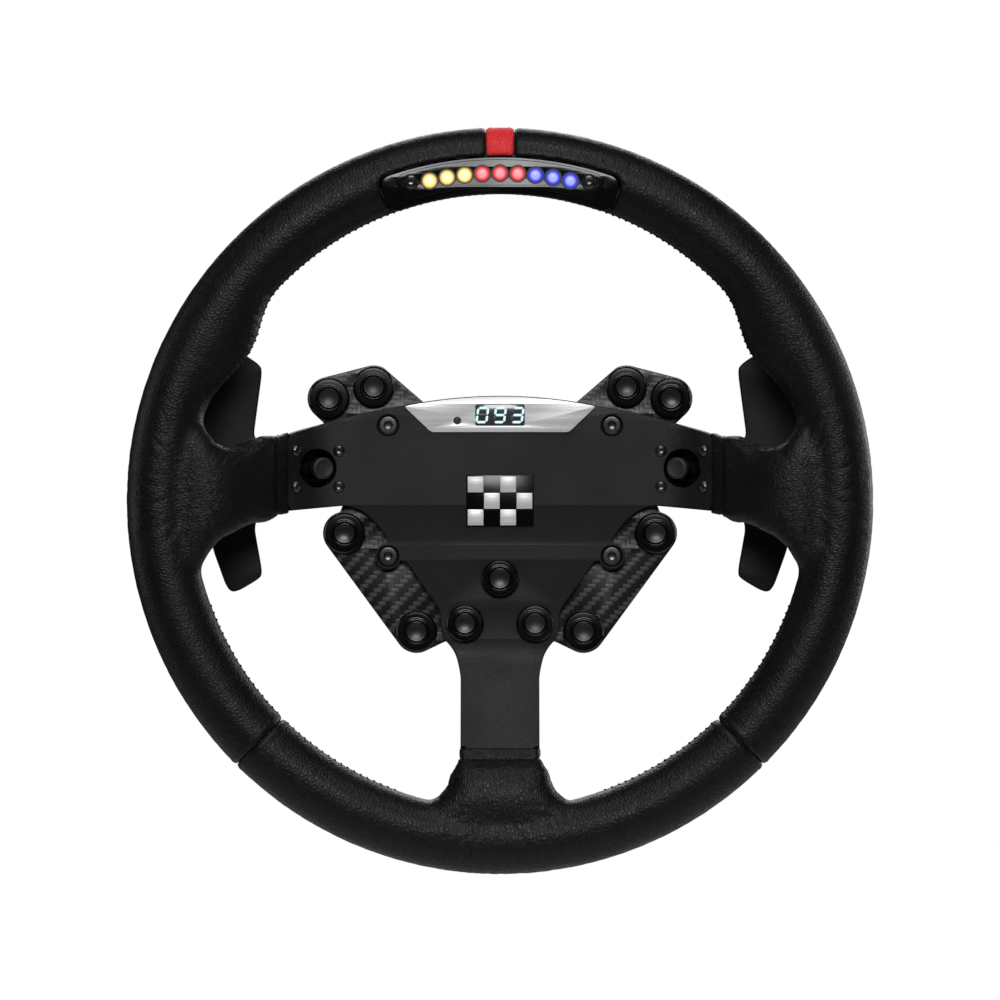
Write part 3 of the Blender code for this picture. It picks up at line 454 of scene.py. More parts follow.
def add_piece(name, mesh, finish, body="root", stands_for=()):
    """Show a finished mesh as a piece that rides on a body."""
    piece = link(bpy.data.objects.new(name, mesh))
    mesh.materials.clear()
    mesh.materials.append(finish.material)
    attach(piece, body)
    if stands_for:
        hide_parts(*stands_for)
    print(name, "has", sum(len(p.vertices) - 2 for p in mesh.polygons), "triangles")
    return piece


# %% [markdown]
# ## Repeats with Geometry Nodes
# Screws, nuts, stitches and ribs are one small shape set down many times.  One tree does it:
# it puts a copy on each point of a mesh, turned to the point's frame, realises the copies and
# gives them their finish.  The result is turned into a plain mesh before it rides on a body.

# %% The repeat tree
MOST_SPIN, SPIN_VALUE = 3, 1      # the random node's own numbers for its greatest value and result


def repeat_tree():
    """Inputs: shape to repeat, its size, the seed for a random spin, and the finish."""
    tree = bpy.data.node_groups.new("repeat_on_points", "GeometryNodeTree")
    for name, kind in (("Places", "Geometry"), ("Shape", "Object"), ("Size", "Float"),
                       ("Spin", "Float"), ("Seed", "Int"), ("Finish", "Material")):
        tree.interface.new_socket(name, in_out="INPUT", socket_type="NodeSocket" + kind)
    tree.interface.new_socket("Result", in_out="OUTPUT", socket_type="NodeSocketGeometry")
    new = tree.nodes.new
    given, result = new("NodeGroupInput"), new("NodeGroupOutput")
    shape = new("GeometryNodeObjectInfo")
    axis, up = new("GeometryNodeInputNamedAttribute"), new("GeometryNodeInputNamedAttribute")
    for node, name in ((axis, "axis"), (up, "up")):
        node.data_type = "FLOAT_VECTOR"
        node.inputs["Name"].default_value = name
    turn = new("FunctionNodeAxesToRotation")
    turn.primary_axis, turn.secondary_axis = "Z", "X"
    spin, spin_turn = new("FunctionNodeRandomValue"), new("FunctionNodeAxisAngleToRotation")
    spin.data_type = "FLOAT"
    rotate = new("FunctionNodeRotateRotation")
    rotate.rotation_space = "LOCAL"
    copies, real = new("GeometryNodeInstanceOnPoints"), new("GeometryNodeRealizeInstances")
    dress = new("GeometryNodeSetMaterial")
    wires = [(given, "Shape", shape, "Object"), (axis, "Attribute", turn, "Primary Axis"),
             (up, "Attribute", turn, "Secondary Axis"), (given, "Spin", spin, MOST_SPIN),
             (given, "Seed", spin, "Seed"), (spin, SPIN_VALUE, spin_turn, "Angle"),
             (turn, "Rotation", rotate, "Rotation"), (spin_turn, "Rotation", rotate, "Rotate By"),
             (given, "Places", copies, "Points"), (shape, "Geometry", copies, "Instance"),
             (rotate, "Rotation", copies, "Rotation"), (given, "Size", copies, "Scale"),
             (copies, "Instances", real, "Geometry"), (real, "Geometry", dress, "Geometry"),
             (given, "Finish", dress, "Material"), (dress, "Geometry", result, "Result")]
    for source, output, target, socket in wires:
        tree.links.new(source.outputs[output], target.inputs[socket])
    return tree


REPEAT = repeat_tree()


def repeated(shape, places, finish, size, spin, seed):
    """A mesh of copies; each place is (point in mm, axis, up) and shape stands on its local Z."""
    points = bpy.data.meshes.new("places")
    points.from_pydata([Vector(point) * MM for point, _, _ in places], [], [])
    for name, row in (("axis", 1), ("up", 2)):
        attribute = points.attributes.new(name, "FLOAT_VECTOR", "POINT")
        attribute.data.foreach_set("vector", [n for place in places for n in place[row]])
    holder = link(bpy.data.objects.new("places", points))
    sample = link(bpy.data.objects.new("shape", shape))
    modifier = holder.modifiers.new("repeat", "NODES")
    modifier.node_group = REPEAT
    values = {"Shape": sample, "Size": size, "Spin": spin, "Seed": seed, "Finish": finish.material}
    for item in REPEAT.interface.items_tree:
        if item.name in values:
            modifier[item.identifier] = values[item.name]
    holder.update_tag()
    made = evaluated_mesh(holder)
    for extra in (holder, sample):
        bpy.data.objects.remove(extra)
    return made


def add_repeats(name, shape, places, finish, spin=0.0, seed=1, body="root", stands_for=()):
    copies = repeated(shape, places, finish, 1.0, spin, seed)
    return add_piece(name, copies, finish, body, stands_for)


# %% [markdown]
# ## Black metal, black plastic
# Bead-blasted and anodised aluminium is a dark grey with a fine speckle; moulded plastic has a
# softer, coarser orange-peel skin; burnished steel is smoother and mirrors the softbox.  They
# differ in grain size and gloss far more than in colour.

# %% Metal and plastic finishes
def grained(name, colour, lighter, roughness, metallic, grain, depth, **sockets):
    """A dark finish with a fine grain: grain is its size in millimetres, depth its relief."""
    made = Finish(name, colour, roughness, metallic, **sockets)
    point = made.place()
    fine = made.noise(point, 1 / (grain * MM), 3.0, 0.6)
    broad = made.noise(point, 28.0, 2.0)
    speck = made.spread(fine, 0.38, 0.68)
    made.paint(Base_Color=made.colours(speck, colour, lighter), Normal=made.relief(fine, depth, 0.7),
               Roughness=made.spread(broad, 0.3, 0.7, roughness - 0.05, roughness + 0.07))
    return made


ANODISED = grained("anodised_black", (0.014, 0.015, 0.016), (0.031, 0.032, 0.034), 0.50, 0.75, 0.45, 0.05)
PADDLE_BLACK = grained("paddle_black", (0.004, 0.005, 0.006), (0.008, 0.009, 0.010), 0.42, 0.1, 0.5, 0.02,
                       Specular_IOR_Level=0.25)
PLASTIC = grained("moulded_plastic", (0.0018, 0.0018, 0.002), (0.0035, 0.0035, 0.004), 0.18, 0.0, 0.6,
                  0.008, Specular_IOR_Level=0.32)
CAP = grained("cap_plastic", (0.010, 0.010, 0.011), (0.017, 0.017, 0.018), 0.30, 0.0, 0.4, 0.008)
HOUSING = grained("textured_housing", (0.008, 0.008, 0.009), (0.016, 0.016, 0.018), 0.55, 0.0, 0.8, 0.08)
STEEL = grained("burnished_steel", (0.075, 0.075, 0.078), (0.11, 0.11, 0.115), 0.26, 0.9, 1.2, 0.01)
DULL_STEEL = grained("zinc_steel", (0.30, 0.30, 0.31), (0.42, 0.42, 0.43), 0.35, 1.0, 0.8, 0.02)
RUBBER = grained("moulded_rubber", (0.012, 0.012, 0.012), (0.022, 0.022, 0.022), 0.45, 0.0, 0.5, 0.03)

# %% [markdown]
# ## Brushed aluminium
# Brushing leaves long scratches along one direction, so the noise is stretched some eighty
# times that way.  It changes the gloss, the colour a little, and the relief.

# %% Brushed and turned aluminium
def brushed(name, colour, stretch, fine=1.0, roughness=0.34):
    made = Finish(name, colour, roughness, 0.25)
    point = made.place(scale=stretch)
    lines = made.noise(point, 5200.0 * fine, 3.0, 0.7)
    broad = made.noise(point, 900.0 * fine, 2.0)
    dark = tuple(part * 0.80 for part in colour)
    made.paint(Base_Color=made.colours(made.spread(lines, 0.3, 0.7), dark, colour),
               Roughness=made.spread(broad, 0.3, 0.7, roughness - 0.08, roughness + 0.10),
               Normal=made.relief(lines, 0.012, 0.6))
    return made


BRUSHED = brushed("brushed_aluminium", (0.90, 0.90, 0.91), (0.012, 1.0, 0.42))
SILVER = brushed("silver_tile", (0.86, 0.86, 0.87), (0.02, 1.0, 1.0), 0.8, 0.36)


def lathe_turned(name, colour, roughness=0.3):
    """Aluminium off the lathe: fine rings about the wheel's axis."""
    made = Finish(name, colour, roughness, 1.0)
    x, y, z = made.axes(made.place())
    radius = made.math("SQRT", made.plus(made.times(x, x), made.times(z, z)))
    along = made.node("CombineXYZ", {0: radius, 1: y, 2: 0.0})
    rings = made.noise(along, 4200.0, 2.0)
    dark = tuple(part * 0.72 for part in colour)
    made.paint(Base_Color=made.colours(made.spread(rings, 0.3, 0.7), dark, colour),
               Normal=made.relief(rings, 0.015, 0.7),
               Roughness=made.spread(rings, 0.3, 0.7, roughness - 0.05, roughness + 0.12))
    return made


TURNED = lathe_turned("turned_aluminium", (0.55, 0.56, 0.57))
TURNED_BLACK = lathe_turned("turned_black", (0.030, 0.031, 0.033), 0.36)

# %% [markdown]
# ## Carbon cloth
# A two-by-two twill: each tow passes over two and under two, and each row steps one tow aside,
# so diagonals appear.  Tows that run across would catch the overhead light and the upright ones
# stay dark; that sheen is painted into the colour, light on the lying tows and near black on the
# upright ones.  The pattern is counted out with floor and modulo, then rounded at the edges of
# each tow, so the painted highlight falls off toward a tow's edges.

# %% Carbon twill
TOW = 1.95


def carbon_twill():
    made = Finish("carbon_twill", (0.02, 0.02, 0.02), 0.34)
    across, _, up = made.axes(made.place(scale=(1 / (TOW * MM),) * 3))
    column, row = made.math("FLOOR", across), made.math("FLOOR", up)
    step = made.math("FLOORED_MODULO", made.math("SUBTRACT", column, row), 4.0)
    lying = made.math("LESS_THAN", step, 1.5)
    run = made.math("FLOORED_MODULO", made.math("SUBTRACT", across, row), 4.0)
    crown_up = made.math("SINE", made.times(made.math("FRACT", up), math.pi))
    crown_along = made.math("SINE", made.times(run, math.pi / 2))
    crown_across = made.math("SINE", made.times(made.math("FRACT", across), math.pi))
    soft_up = made.math("POWER", crown_up, 0.55)
    soft_along = made.math("POWER", made.math("MAXIMUM", crown_along, 0.0), 0.4)
    weft = made.times(made.times(soft_up, soft_along), lying)
    fibres = made.noise(made.place(scale=(0.03, 1.0, 1.0)), 9000.0, 2.0)
    glow = made.times(weft, made.spread(fibres, 0.2, 0.8, 0.72, 1.1))
    warp = made.times(made.math("SUBTRACT", 1.0, lying), crown_across)
    height = made.plus(weft, made.times(warp, 0.6))
    # painted highlight: the lying tows get a light base colour and the upright ones a near-black one, standing
    # in for their sheen under the overhead light
    made.paint(Base_Color=made.colours(glow, (0.0022, 0.0022, 0.0024), (0.058, 0.058, 0.060)),
               Normal=made.relief(height, 0.12, 0.5),
               Roughness=made.spread(glow, 0.0, 1.0, 0.32, 0.45))
    return made


CARBON = carbon_twill()

# %% [markdown]
# ## Leather
# The grain is a pebble one to two millimetres wide, cut by finer creases that run across the rim
# where the hide was pulled round it.  Both follow the rim, not the room, so they read a point
# stored on the mesh: length along the rim, distance from the hub, and depth.  The colour is
# painted shade: darker in the valleys between pebbles and along the creases, lighter on the tops.

# %% Leather finish
def leather(name, dark, light, roughness=0.46):
    made = Finish(name, dark, roughness, Specular_IOR_Level=0.26)
    point = made.place(scale=(1.0, 0.62, 0.62), source="unrolled")
    wander = made.node("VectorMath", {0: made.noise_colour(point, 260.0), 1: (0.5, 0.5, 0.5)},
                       operation="SUBTRACT")
    bent_point = made.node("VectorMath", {0: wander, 1: (0.0011,) * 3, 2: point}, operation="MULTIPLY_ADD")
    cells = made.node("TexVoronoi", {"Vector": bent_point, "Scale": 690.0, "Randomness": 0.95},
                      feature="DISTANCE_TO_EDGE")
    pebble = made.spread(cells, 0.0, 0.30)
    pulled = made.place(scale=(1.0, 0.30, 0.30), source="unrolled")
    folds = made.math("ABSOLUTE", made.math("SUBTRACT", made.noise(pulled, 250.0, 2.0, 0.5), 0.5))
    crease = made.spread(folds, 0.0, 0.05)
    pores = made.noise(point, 2600.0, 2.0)
    height = made.plus(made.times(pebble, 0.55),
                       made.plus(made.times(crease, 0.35), made.times(pores, 0.25)))
    worn = made.spread(made.noise(point, 42.0, 3.0), 0.35, 0.7)
    # painted shade: the base colour goes from dark in the valleys between pebbles and along the creases to
    # light on their tops
    made.paint(Base_Color=made.colours(made.spread(height, 0.3, 1.1), dark, light),
               Normal=made.relief(height, 0.19, 0.8),
               Roughness=made.plus(made.spread(height, 0.3, 1.1, roughness + 0.12, roughness),
                                   made.times(worn, -0.07)))
    return made


LEATHER_BLACK = leather("black_leather", (0.0012, 0.0012, 0.0013), (0.0062, 0.0062, 0.0066), 0.40)
LEATHER_RED = leather("red_leather", (0.80, 0.028, 0.034), (0.95, 0.048, 0.055), 0.5)
THREAD = grained("black_thread", (0.003, 0.003, 0.003), (0.008, 0.008, 0.009), 0.8, 0.0, 0.35, 0.08,
                 Specular_IOR_Level=0.12)

# %% [markdown]
# ## The dished spoke frame
# One plate makes the hub, three arms and the steel ring inside the rim.  The arms bend toward
# the driver by twenty-eight degrees and back, so the hub lies deeper than the rim.  The outline
# is cut flat first, then sliced across each arm at the bends, and every point is moved to where
# the bend carries it.

# %% Sizes of the frame and its bends
GAP = 0.3
RIM_RADIUS, TUBE = 150.3, 14.7
LEATHER_THICK = 1.3
PLATE_FRONT, PLATE = -73.8, 5.0
PLATE_MIDDLE = PLATE_FRONT + PLATE / 2
CARBON_FRONT, CARBON_BACK = -68.5, -66.0
HOUSING_FRONT, HOUSING_BACK = -65.7, -44.3
BEND_ANGLE, BEND_RUN, STRAIGHT_RUN = math.radians(28.0), 14.0, 34.0
BEND_RADIUS = BEND_RUN / math.sin(BEND_ANGLE)
BEND_REACH = 2 * BEND_RUN + STRAIGHT_RUN
DISH = 2 * BEND_RADIUS * (1 - math.cos(BEND_ANGLE)) + STRAIGHT_RUN * math.tan(BEND_ANGLE)
RIM_MIDDLE = PLATE_MIDDLE - DISH
RIM_FRONT = RIM_MIDDLE - TUBE
SIDE_BEND, BOTTOM_BEND = 72.0, 61.0
SIDE_HEM, BOTTOM_HEM = 93.7, 109.0
RING_INNER, RING_OUTER = RIM_RADIUS - 6, RIM_RADIUS + 6
FRAME_SCREWS = [(49.8, 33.6), (49.8, -24.6)]
SCREW_PLACES = [(side * x, z) for x, z in FRAME_SCREWS for side in (-1, 1)]
CARBON_BUTTONS = {"upper_outer": (76.2, 45.7), "upper_inner": (56.3, 50.8),
                  "lower_outer": (69.3, -14.4), "lower_inner": (37.2, -58.2)}
CARBON_PLACES = [(side * x, z) for x, z in CARBON_BUTTONS.values() for side in (-1, 1)]
BARREL_HOLE, SHANK_HOLE = 6.3, 2.8
FRAME_BUTTONS = {"button_centre": (0.0, -34.5), "button_centre_left": (-15.6, -54.5),
                 "button_centre_right": (15.6, -54.5)}
STICK_X, STICK_Z = 81.0, 14.5
print("the hub lies", round(DISH, 1), "mm behind the rim")


def dish(distance):
    """How far an arm has come toward the driver at a distance past the start of its bend."""
    rise = BEND_RADIUS * (1 - math.cos(BEND_ANGLE))
    if distance <= 0:
        return 0.0
    if distance < BEND_RUN:
        return BEND_RADIUS * (1 - math.sqrt(1 - (distance / BEND_RADIUS) ** 2))
    if distance < BEND_RUN + STRAIGHT_RUN:
        return rise + (distance - BEND_RUN) * math.tan(BEND_ANGLE)
    left = max(BEND_REACH - distance, 0.0)
    return DISH - BEND_RADIUS * (1 - math.sqrt(1 - (left / BEND_RADIUS) ** 2))


def slope(distance):
    reach = max(min(distance, BEND_REACH - distance), 0.0)
    return math.asin(min(reach, BEND_RUN) / BEND_RADIUS)


def bent(point):
    """A point of the flat frame (mm) where the bends put it."""
    x, y, z = point
    depth = y - PLATE_FRONT
    if math.hypot(x, z) > RING_INNER - 4:
        return Vector((x, y - DISH, z))
    past_side, past_bottom = abs(x) - SIDE_BEND, -z - BOTTOM_BEND
    if past_side > past_bottom:
        lean = slope(past_side)
        return Vector((x + math.copysign(depth * math.sin(lean), x),
                       PLATE_FRONT - dish(past_side) + depth * math.cos(lean), z))
    lean = slope(past_bottom)
    return Vector((x, PLATE_FRONT - dish(past_bottom) + depth * math.cos(lean), z - depth * math.sin(lean)))


# %% Outline of the frame
def panel_holes(buttons):
    """Holes for the button barrels and for the four frame screws."""
    return ([circle(place, BARREL_HOLE, 40) for place in buttons]
            + [circle(place, SHANK_HOLE, 24) for place in SCREW_PLACES])


def crown(height, reach, count=12):
    """The arched top edge of the hub, from the centre line outward."""
    return [(x, height - x ** 2 / 428.0) for x in np.linspace(0, reach, count)]


def ring_point(z):
    return math.sqrt(RING_INNER ** 2 - z ** 2), z


def frame_loops():
    upper = crown(46.8, 43.2) + [(58.7, 39.7), (72.0, 36.3), (93.0, 29.8), (93.4, 27.2), (112.0, 20.5)]
    upper = soften(upper, 4.0, 4, closed=False)
    top_angle = math.degrees(math.asin(16.0 / RING_INNER))
    upper += [ring_point(16.0)] + arc((0, 0), RING_INNER, top_angle, 90, 36)[1:]
    window = upper[:-1] + [(0.0, RING_INNER)] + [(-x, z) for x, z in reversed(upper[1:-1])]
    boss = arc(FRAME_SCREWS[1], 5.9, 90, -160, 28)
    low_angle = -math.degrees(math.asin(8.0 / RING_INNER))
    lower = [ring_point(-8.0), (112.0, -4.5), (93.4, -2.0), (93.0, -4.4), (72.0, -2.4)]
    flank = soften([(72.0, -2.4), (67.2, -2.1), (62.1, -3.9), (57.3, -7.6), (53.3, -12.1), (50.0, -17.0),
                    boss[0]], 3.0, 4, closed=False)[1:-1]
    waist = soften([boss[-1], (41.8, -26.9), (26.4, -49.0), (26.5, -54.8), (25.2, -61.4), (22.1, -64.1),
                    (19.4, -68.0), (17.5, -75.5), (17.5, -108.3)], 3.0, 4, closed=False)[1:]
    narrow = 15.2
    root_angle = -math.degrees(math.acos(narrow / RING_INNER))
    ring_side = arc((0, 0), RING_INNER, root_angle, low_angle, 24)[:-1]
    lower += flank + boss + waist + [(narrow, -108.7)] + ring_side
    return circle((0, 0), RING_OUTER, 144), window, lower, mirrored(lower)


def stick_hole(side, radius):
    squeeze = math.cos(math.radians(20.0))
    return [(side * (STICK_X + (x - STICK_X) * squeeze), z)
            for x, z in circle((STICK_X, STICK_Z), radius, 56)]


# %% Cut, slice and bend the frame
def bend_frame(mesh):
    body = bmesh.new()
    body.from_mesh(mesh)
    near_bends = list(np.arange(0.0, BEND_RUN + 0.1, 1.75))
    stations = near_bends + [BEND_RUN + STRAIGHT_RUN + step for step in near_bends]
    for station in stations:
        planes = [((SIDE_BEND + station, 0, 0), (1, 0, 0)), ((-SIDE_BEND - station, 0, 0), (1, 0, 0)),
                  ((0, 0, -BOTTOM_BEND - station), (0, 0, 1))]
        for point, normal in planes:
            faces = [face for face in body.faces
                     if min(math.hypot(v.co.x, v.co.z) for v in face.verts) < (RING_INNER - 4) * MM]
            edges = {edge for face in faces for edge in face.edges}
            corners = {vert for face in faces for vert in face.verts}
            bmesh.ops.bisect_plane(body, geom=list(corners) + list(edges) + faces, dist=0.000001,
                                   plane_co=Vector(point) * MM, plane_no=normal)
    for vert in body.verts:
        vert.co = bent(vert.co / MM) * MM
    body.to_mesh(mesh)
    body.free()
    return tidy_mesh(mesh, 24.0)


def build_frame():
    holes = panel_holes(FRAME_BUTTONS.values())
    holes += [stick_hole(side, 8.5) for side in (-1, 1)]
    holes += [soften([(-12.0, 32.7), (12.0, 32.7), (12.0, 43.7), (-12.0, 43.7)], 1.0)]
    flat = plate("spoke_frame", list(frame_loops()) + holes, PLATE_FRONT, PLATE_FRONT + PLATE, 0.4, 2)
    bored = [(0, 6), (5.15, 6), (5.15, 0), (4.55, -0.6), (4.55, -3.6), (0, -3.6)]
    bores = [lathe(bored, at((x, PLATE_FRONT, z), TOWARD_DRIVER), 48, 0) for x, z in SCREW_PLACES]
    mesh = bend_frame(cut(flat, bores))
    return add_piece("spoke_frame_finished", mesh, ANODISED, stands_for=["spoke_frame"])


build_frame()

# %% [markdown]
# ## Socket screws
# A low-head cap screw is turned, with a hexagonal socket sunk in its face.  Its thread is a real
# set of grooves, coarse but round, because the shank shows in the exported mesh.  The repeat
# tree sets four of them, each spun by chance as a hand leaves it.

# %% Screws
def hexagon_tool(height, socket, flare, lip, floor, point):
    """What cuts a hexagonal socket: a flared mouth, straight sides and a drilled point."""
    rows = [(0, height + 1), (socket + flare, height + 1), (socket + flare, height),
            (socket, height - lip), (socket, floor), (0, point)]
    return lathe(rows, UPRIGHT, 6, 0)


def socket_screw(head, height, socket, depth, shank, length, sides=48):
    """A screw standing on z 0, its head up: turned body less a hexagonal socket."""
    thread = [(shank, 0.0)]
    for step in range(int(length)):
        thread += [(shank, -step - 0.25), (shank - 0.25, -step - 0.5), (shank, -step - 0.75)]
    rows = [(0, height), (head - 0.5, height), (head, height - 0.5), (head, 0.0), (shank, 0.0)]
    rows = soften(rows, 0.25, 3, closed=False)
    body = lathe(rows + thread[1:] + [(shank - 0.4, -length), (0, -length)], UPRIGHT, sides, 0)
    floor = height - depth
    return cut(body, [hexagon_tool(height, socket, 0.35, 0.35, floor, floor - 0.6)])


FORWARD = (Vector((0, -1, 0)), Vector((0, 0, 1)))
BACKWARD = (Vector((0, 1, 0)), Vector((0, 0, 1)))
spots = [((x, PLATE_FRONT + 3.3, z), *FORWARD) for x, z in SCREW_PLACES]
screw_nodes = [f"frame_screw_{row}_{side}" for row in ("upper", "lower") for side in ("left", "right")]
add_repeats("frame_screws", socket_screw(4.25, 3.3, 1.9, 1.8, 2.5, 14.0), spots, STEEL, 1.0, 4,
            stands_for=screw_nodes)

# %% [markdown]
# ## Carbon button carrier
# A flat X behind the frame, its lobes concentric with the buttons they carry.

# %% Carrier
def carrier_outline():
    lobe = 9.65
    upper_in, upper_out = CARBON_BUTTONS["upper_inner"], CARBON_BUTTONS["upper_outer"]
    lower_out, lower_in = CARBON_BUTTONS["lower_outer"], CARBON_BUTTONS["lower_inner"]
    half = [(0, 39.5), (30.0, 40.5)]
    half += arc(upper_in, lobe, 118, 76, 10) + arc(upper_out, lobe, 76, -48, 28)
    half += [(70.5, 27.0), (67.5, 5.0)] + arc(lower_out, lobe, 78, -37, 26)
    half += arc(lower_in, lobe, -37, -110, 18) + [(24.0, -62.5), (0, -66.0)]
    return both_sides(half)


def build_carrier():
    holes = panel_holes(CARBON_PLACES + list(FRAME_BUTTONS.values()))
    mesh = plate("carrier", [soften(carrier_outline(), 1.5, 3)] + holes, CARBON_FRONT, CARBON_BACK, 0.35, 2)
    return add_piece("carbon_carrier", mesh, CARBON, stands_for=["carbon_plate"])


build_carrier()

# %% [markdown]
# ## Push buttons
# Each button is a flanged collar with a raised ring, a threaded barrel behind the panel, and a
# cap with a shallow hollow for the fingertip.  Collar and cap are turned on the same axis; the
# cap rides on its own body, so it can be pressed.

# %% Collars and caps
def collar_profile(flange):
    thread = []
    for step in range(12):
        thread += [(6.0, -step - 0.3), (5.65, -step - 0.6)]
    front = [(0, -6.1), (4.85, -6.1), (4.85, 4.2), (5.1, 4.5), (5.65, 4.5), (5.85, 3.45), (6.2, 3.3),
             (flange - 0.75, 3.3), (flange, 2.4), (flange, GAP), (6.0, GAP)]
    return soften(front, 0.22, 2, closed=False) + thread + [(5.6, -12.5), (0, -12.5)]


def cap_profile():
    hollow = [(radius, 4.2 + 0.62 * (radius / 3.85) ** 2) for radius in np.linspace(0, 3.85, 7)]
    return hollow + [(4.2, 4.9), (4.45, 4.72), (4.55, 4.4), (4.55, -4.1), (0, -4.1)]


def add_button(name, place, flange, face):
    where = at((place[0], face, place[1]), TOWARD_DRIVER)
    add_piece(name + "_flange", lathe(collar_profile(flange), where, 56, 0), PLASTIC,
              stands_for=[name + "_collar"])
    add_piece(name + "_top", lathe(cap_profile(), where, 48, 0), CAP, name, [name + "_cap"])


for place_name, (x, z) in CARBON_BUTTONS.items():
    for side_name, side in (("left", -1), ("right", 1)):
        add_button(f"button_{side_name}_{place_name}", (side * x, z), 9.15, CARBON_FRONT)
for button_name, place in FRAME_BUTTONS.items():
    add_button(button_name, place, 8.35, PLATE_FRONT)

# %% Nuts behind the carrier
def hex_nut(width, height, bore):
    """A nut standing on z 0 with chamfered corners."""
    body = lathe([(bore, 0), (bore, height), (width, height), (width, 0), (bore, 0)], UPRIGHT, 6, 0)
    guard = lathe([(0, -0.1), (width * 0.93, -0.1), (width * 1.02, 0.9), (width * 1.02, height - 0.9),
                   (width * 0.93, height + 0.1), (0, height + 0.1)], UPRIGHT, 48, 0)
    return cut(body, [guard], "INTERSECT")


spots = [((x, CARBON_BACK + 0.05, z), *BACKWARD) for x, z in CARBON_PLACES]
add_repeats("barrel_nuts", hex_nut(7.9, 3.0, 6.02), spots, DULL_STEEL, 1.0, 7)

# %% [markdown]
# ## Thumb joysticks
# A square module sits behind a round hole in each arm and leans toward the wheel's centre.  A
# round well holds a gimbal ring, a stem and a rubber-faced knob.  Four button-head screws fix it.

# %% Joysticks
STICK_LEAN = math.radians(20.0)
PIVOT_DEPTH = 12.0


def stick_place(side):
    front = PLATE_FRONT - dish(STICK_X - SIDE_BEND)
    return at((side * STICK_X, front, STICK_Z), Matrix.Rotation(-side * STICK_LEAN, 4, "Z"))


def build_joystick(side_name, side):
    name = "joystick_" + side_name
    place = stick_place(side)
    front = PLATE + 0.9
    shell = box((-10, front, -10), (10, front + 12.0, 10), 0.8, place)
    well = lathe([(0, 3), (9.3, 3), (9.3, 0.0), (8.7, -0.6), (8.7, -10.5), (0, -10.5)],
                 place @ at((0, front, 0), TOWARD_DRIVER), 56, 0)
    flange = box((-11.0, PLATE + 0.15, -9.8), (11.0, front + 1.4, 9.8), 0.1, place)
    module = cut(cut(shell, [flange], "UNION"), [well])
    add_piece(name + "_module", module, PLASTIC, stands_for=[name + "_housing"])
    on_axis = place @ at((0, PIVOT_DEPTH, 0), TOWARD_DRIVER)
    ring = [(4.6, -1.8), (4.6, 1.8), (7.5, 1.8), (7.5, -1.8), (4.6, -1.8)]
    add_piece(name + "_ring", lathe(ring, on_axis, 48, 0.4), PLASTIC, name + "_gimbal", [name + "_gimbal"])
    stem = [(0, 17.2), (2.0, 17.2), (2.0, 3.4), (3.9, 1.0), (3.9, -1.0), (2.4, -2.6), (0, -2.6)]
    add_piece(name + "_stem", lathe(stem, on_axis, 32, 0.3), STEEL, name + "_shaft", [name + "_shaft"])
    grip = [(0, 20.1), (1.5, 20.13), (3.0, 20.3), (3.9, 20.5), (4.5, 20.3), (4.85, 19.7), (4.85, 16.6),
            (3.65, 15.0), (2.3, 15.0), (2.3, 18.4), (0, 18.4)]
    add_piece(name + "_grip", lathe(soften(grip, 0.3, 3, closed=False), on_axis, 56, 0), RUBBER,
              name + "_knob", [name + "_knob"])


for side_name, side in (("left", -1), ("right", 1)):
    build_joystick(side_name, side)


# %% Button-head screws round the joysticks
def button_head(radius, height, socket):
    dome = [(radius * math.cos(a), height * math.sin(a) * 1.02) for a in np.linspace(1.25, 0.12, 7)]
    stub = [(radius, 0.0), (radius * 0.5, 0.0), (radius * 0.5, -4.0), (0, -4.0)]
    body = lathe([(0, height * 0.97)] + dome + stub, UPRIGHT, 40, 0)
    return cut(body, [hexagon_tool(height, socket, 0.25, 0.3, 0.35, 0.1)])


def arm_spot(side, distance, z, lift=0.0):
    """A place on a side arm's front face, with the face's own direction."""
    lean = slope(distance - SIDE_BEND)
    axis = Vector((-side * math.sin(lean), -math.cos(lean), 0))
    point = Vector((side * distance, PLATE_FRONT - dish(distance - SIDE_BEND), z)) + axis * lift
    return point, axis, Vector((0, 0, 1))


spots = [arm_spot(side, distance, z, 0.02)
         for side in (-1, 1) for distance in (71.7, 90.2) for z in (22.3, 6.3)]
add_repeats("joystick_screws", button_head(2.65, 1.5, 1.15), spots, STEEL, 1.0, 5)

# %% [markdown]
# ## Display strip
# A brushed aluminium strip follows the hub's arched top.  Its window shows three slanted
# seven-segment digits that glow pale blue, with the unlit segments barely visible behind them.

# %% Display
DISPLAY_CENTRE = 38.2
DISPLAY_FRONT = PLATE_FRONT - 0.3 - 1.0
SEGMENTS = {"0": "abcdef", "9": "abcdfg", "3": "abcdg"}
GLASS = Finish("display_glass", (0.050, 0.052, 0.050), 0.16, Coat_Weight=0.5)
haze = GLASS.noise(GLASS.place(), 90.0)
GLASS.paint(Base_Color=GLASS.colours(haze, (0.045, 0.047, 0.045), (0.060, 0.062, 0.060)))


def lit(name, colour, strength):
    """A lamp colour, scaled by the glow number stored on the mesh."""
    made = Finish(name, (0.02, 0.02, 0.02), 0.35)
    level = made.node("Attribute", output="Fac", attribute_name="glow")
    made.paint(Emission_Color=made.colours(level, (0, 0, 0), colour))
    made.shader.inputs["Emission Strength"].default_value = strength
    return made


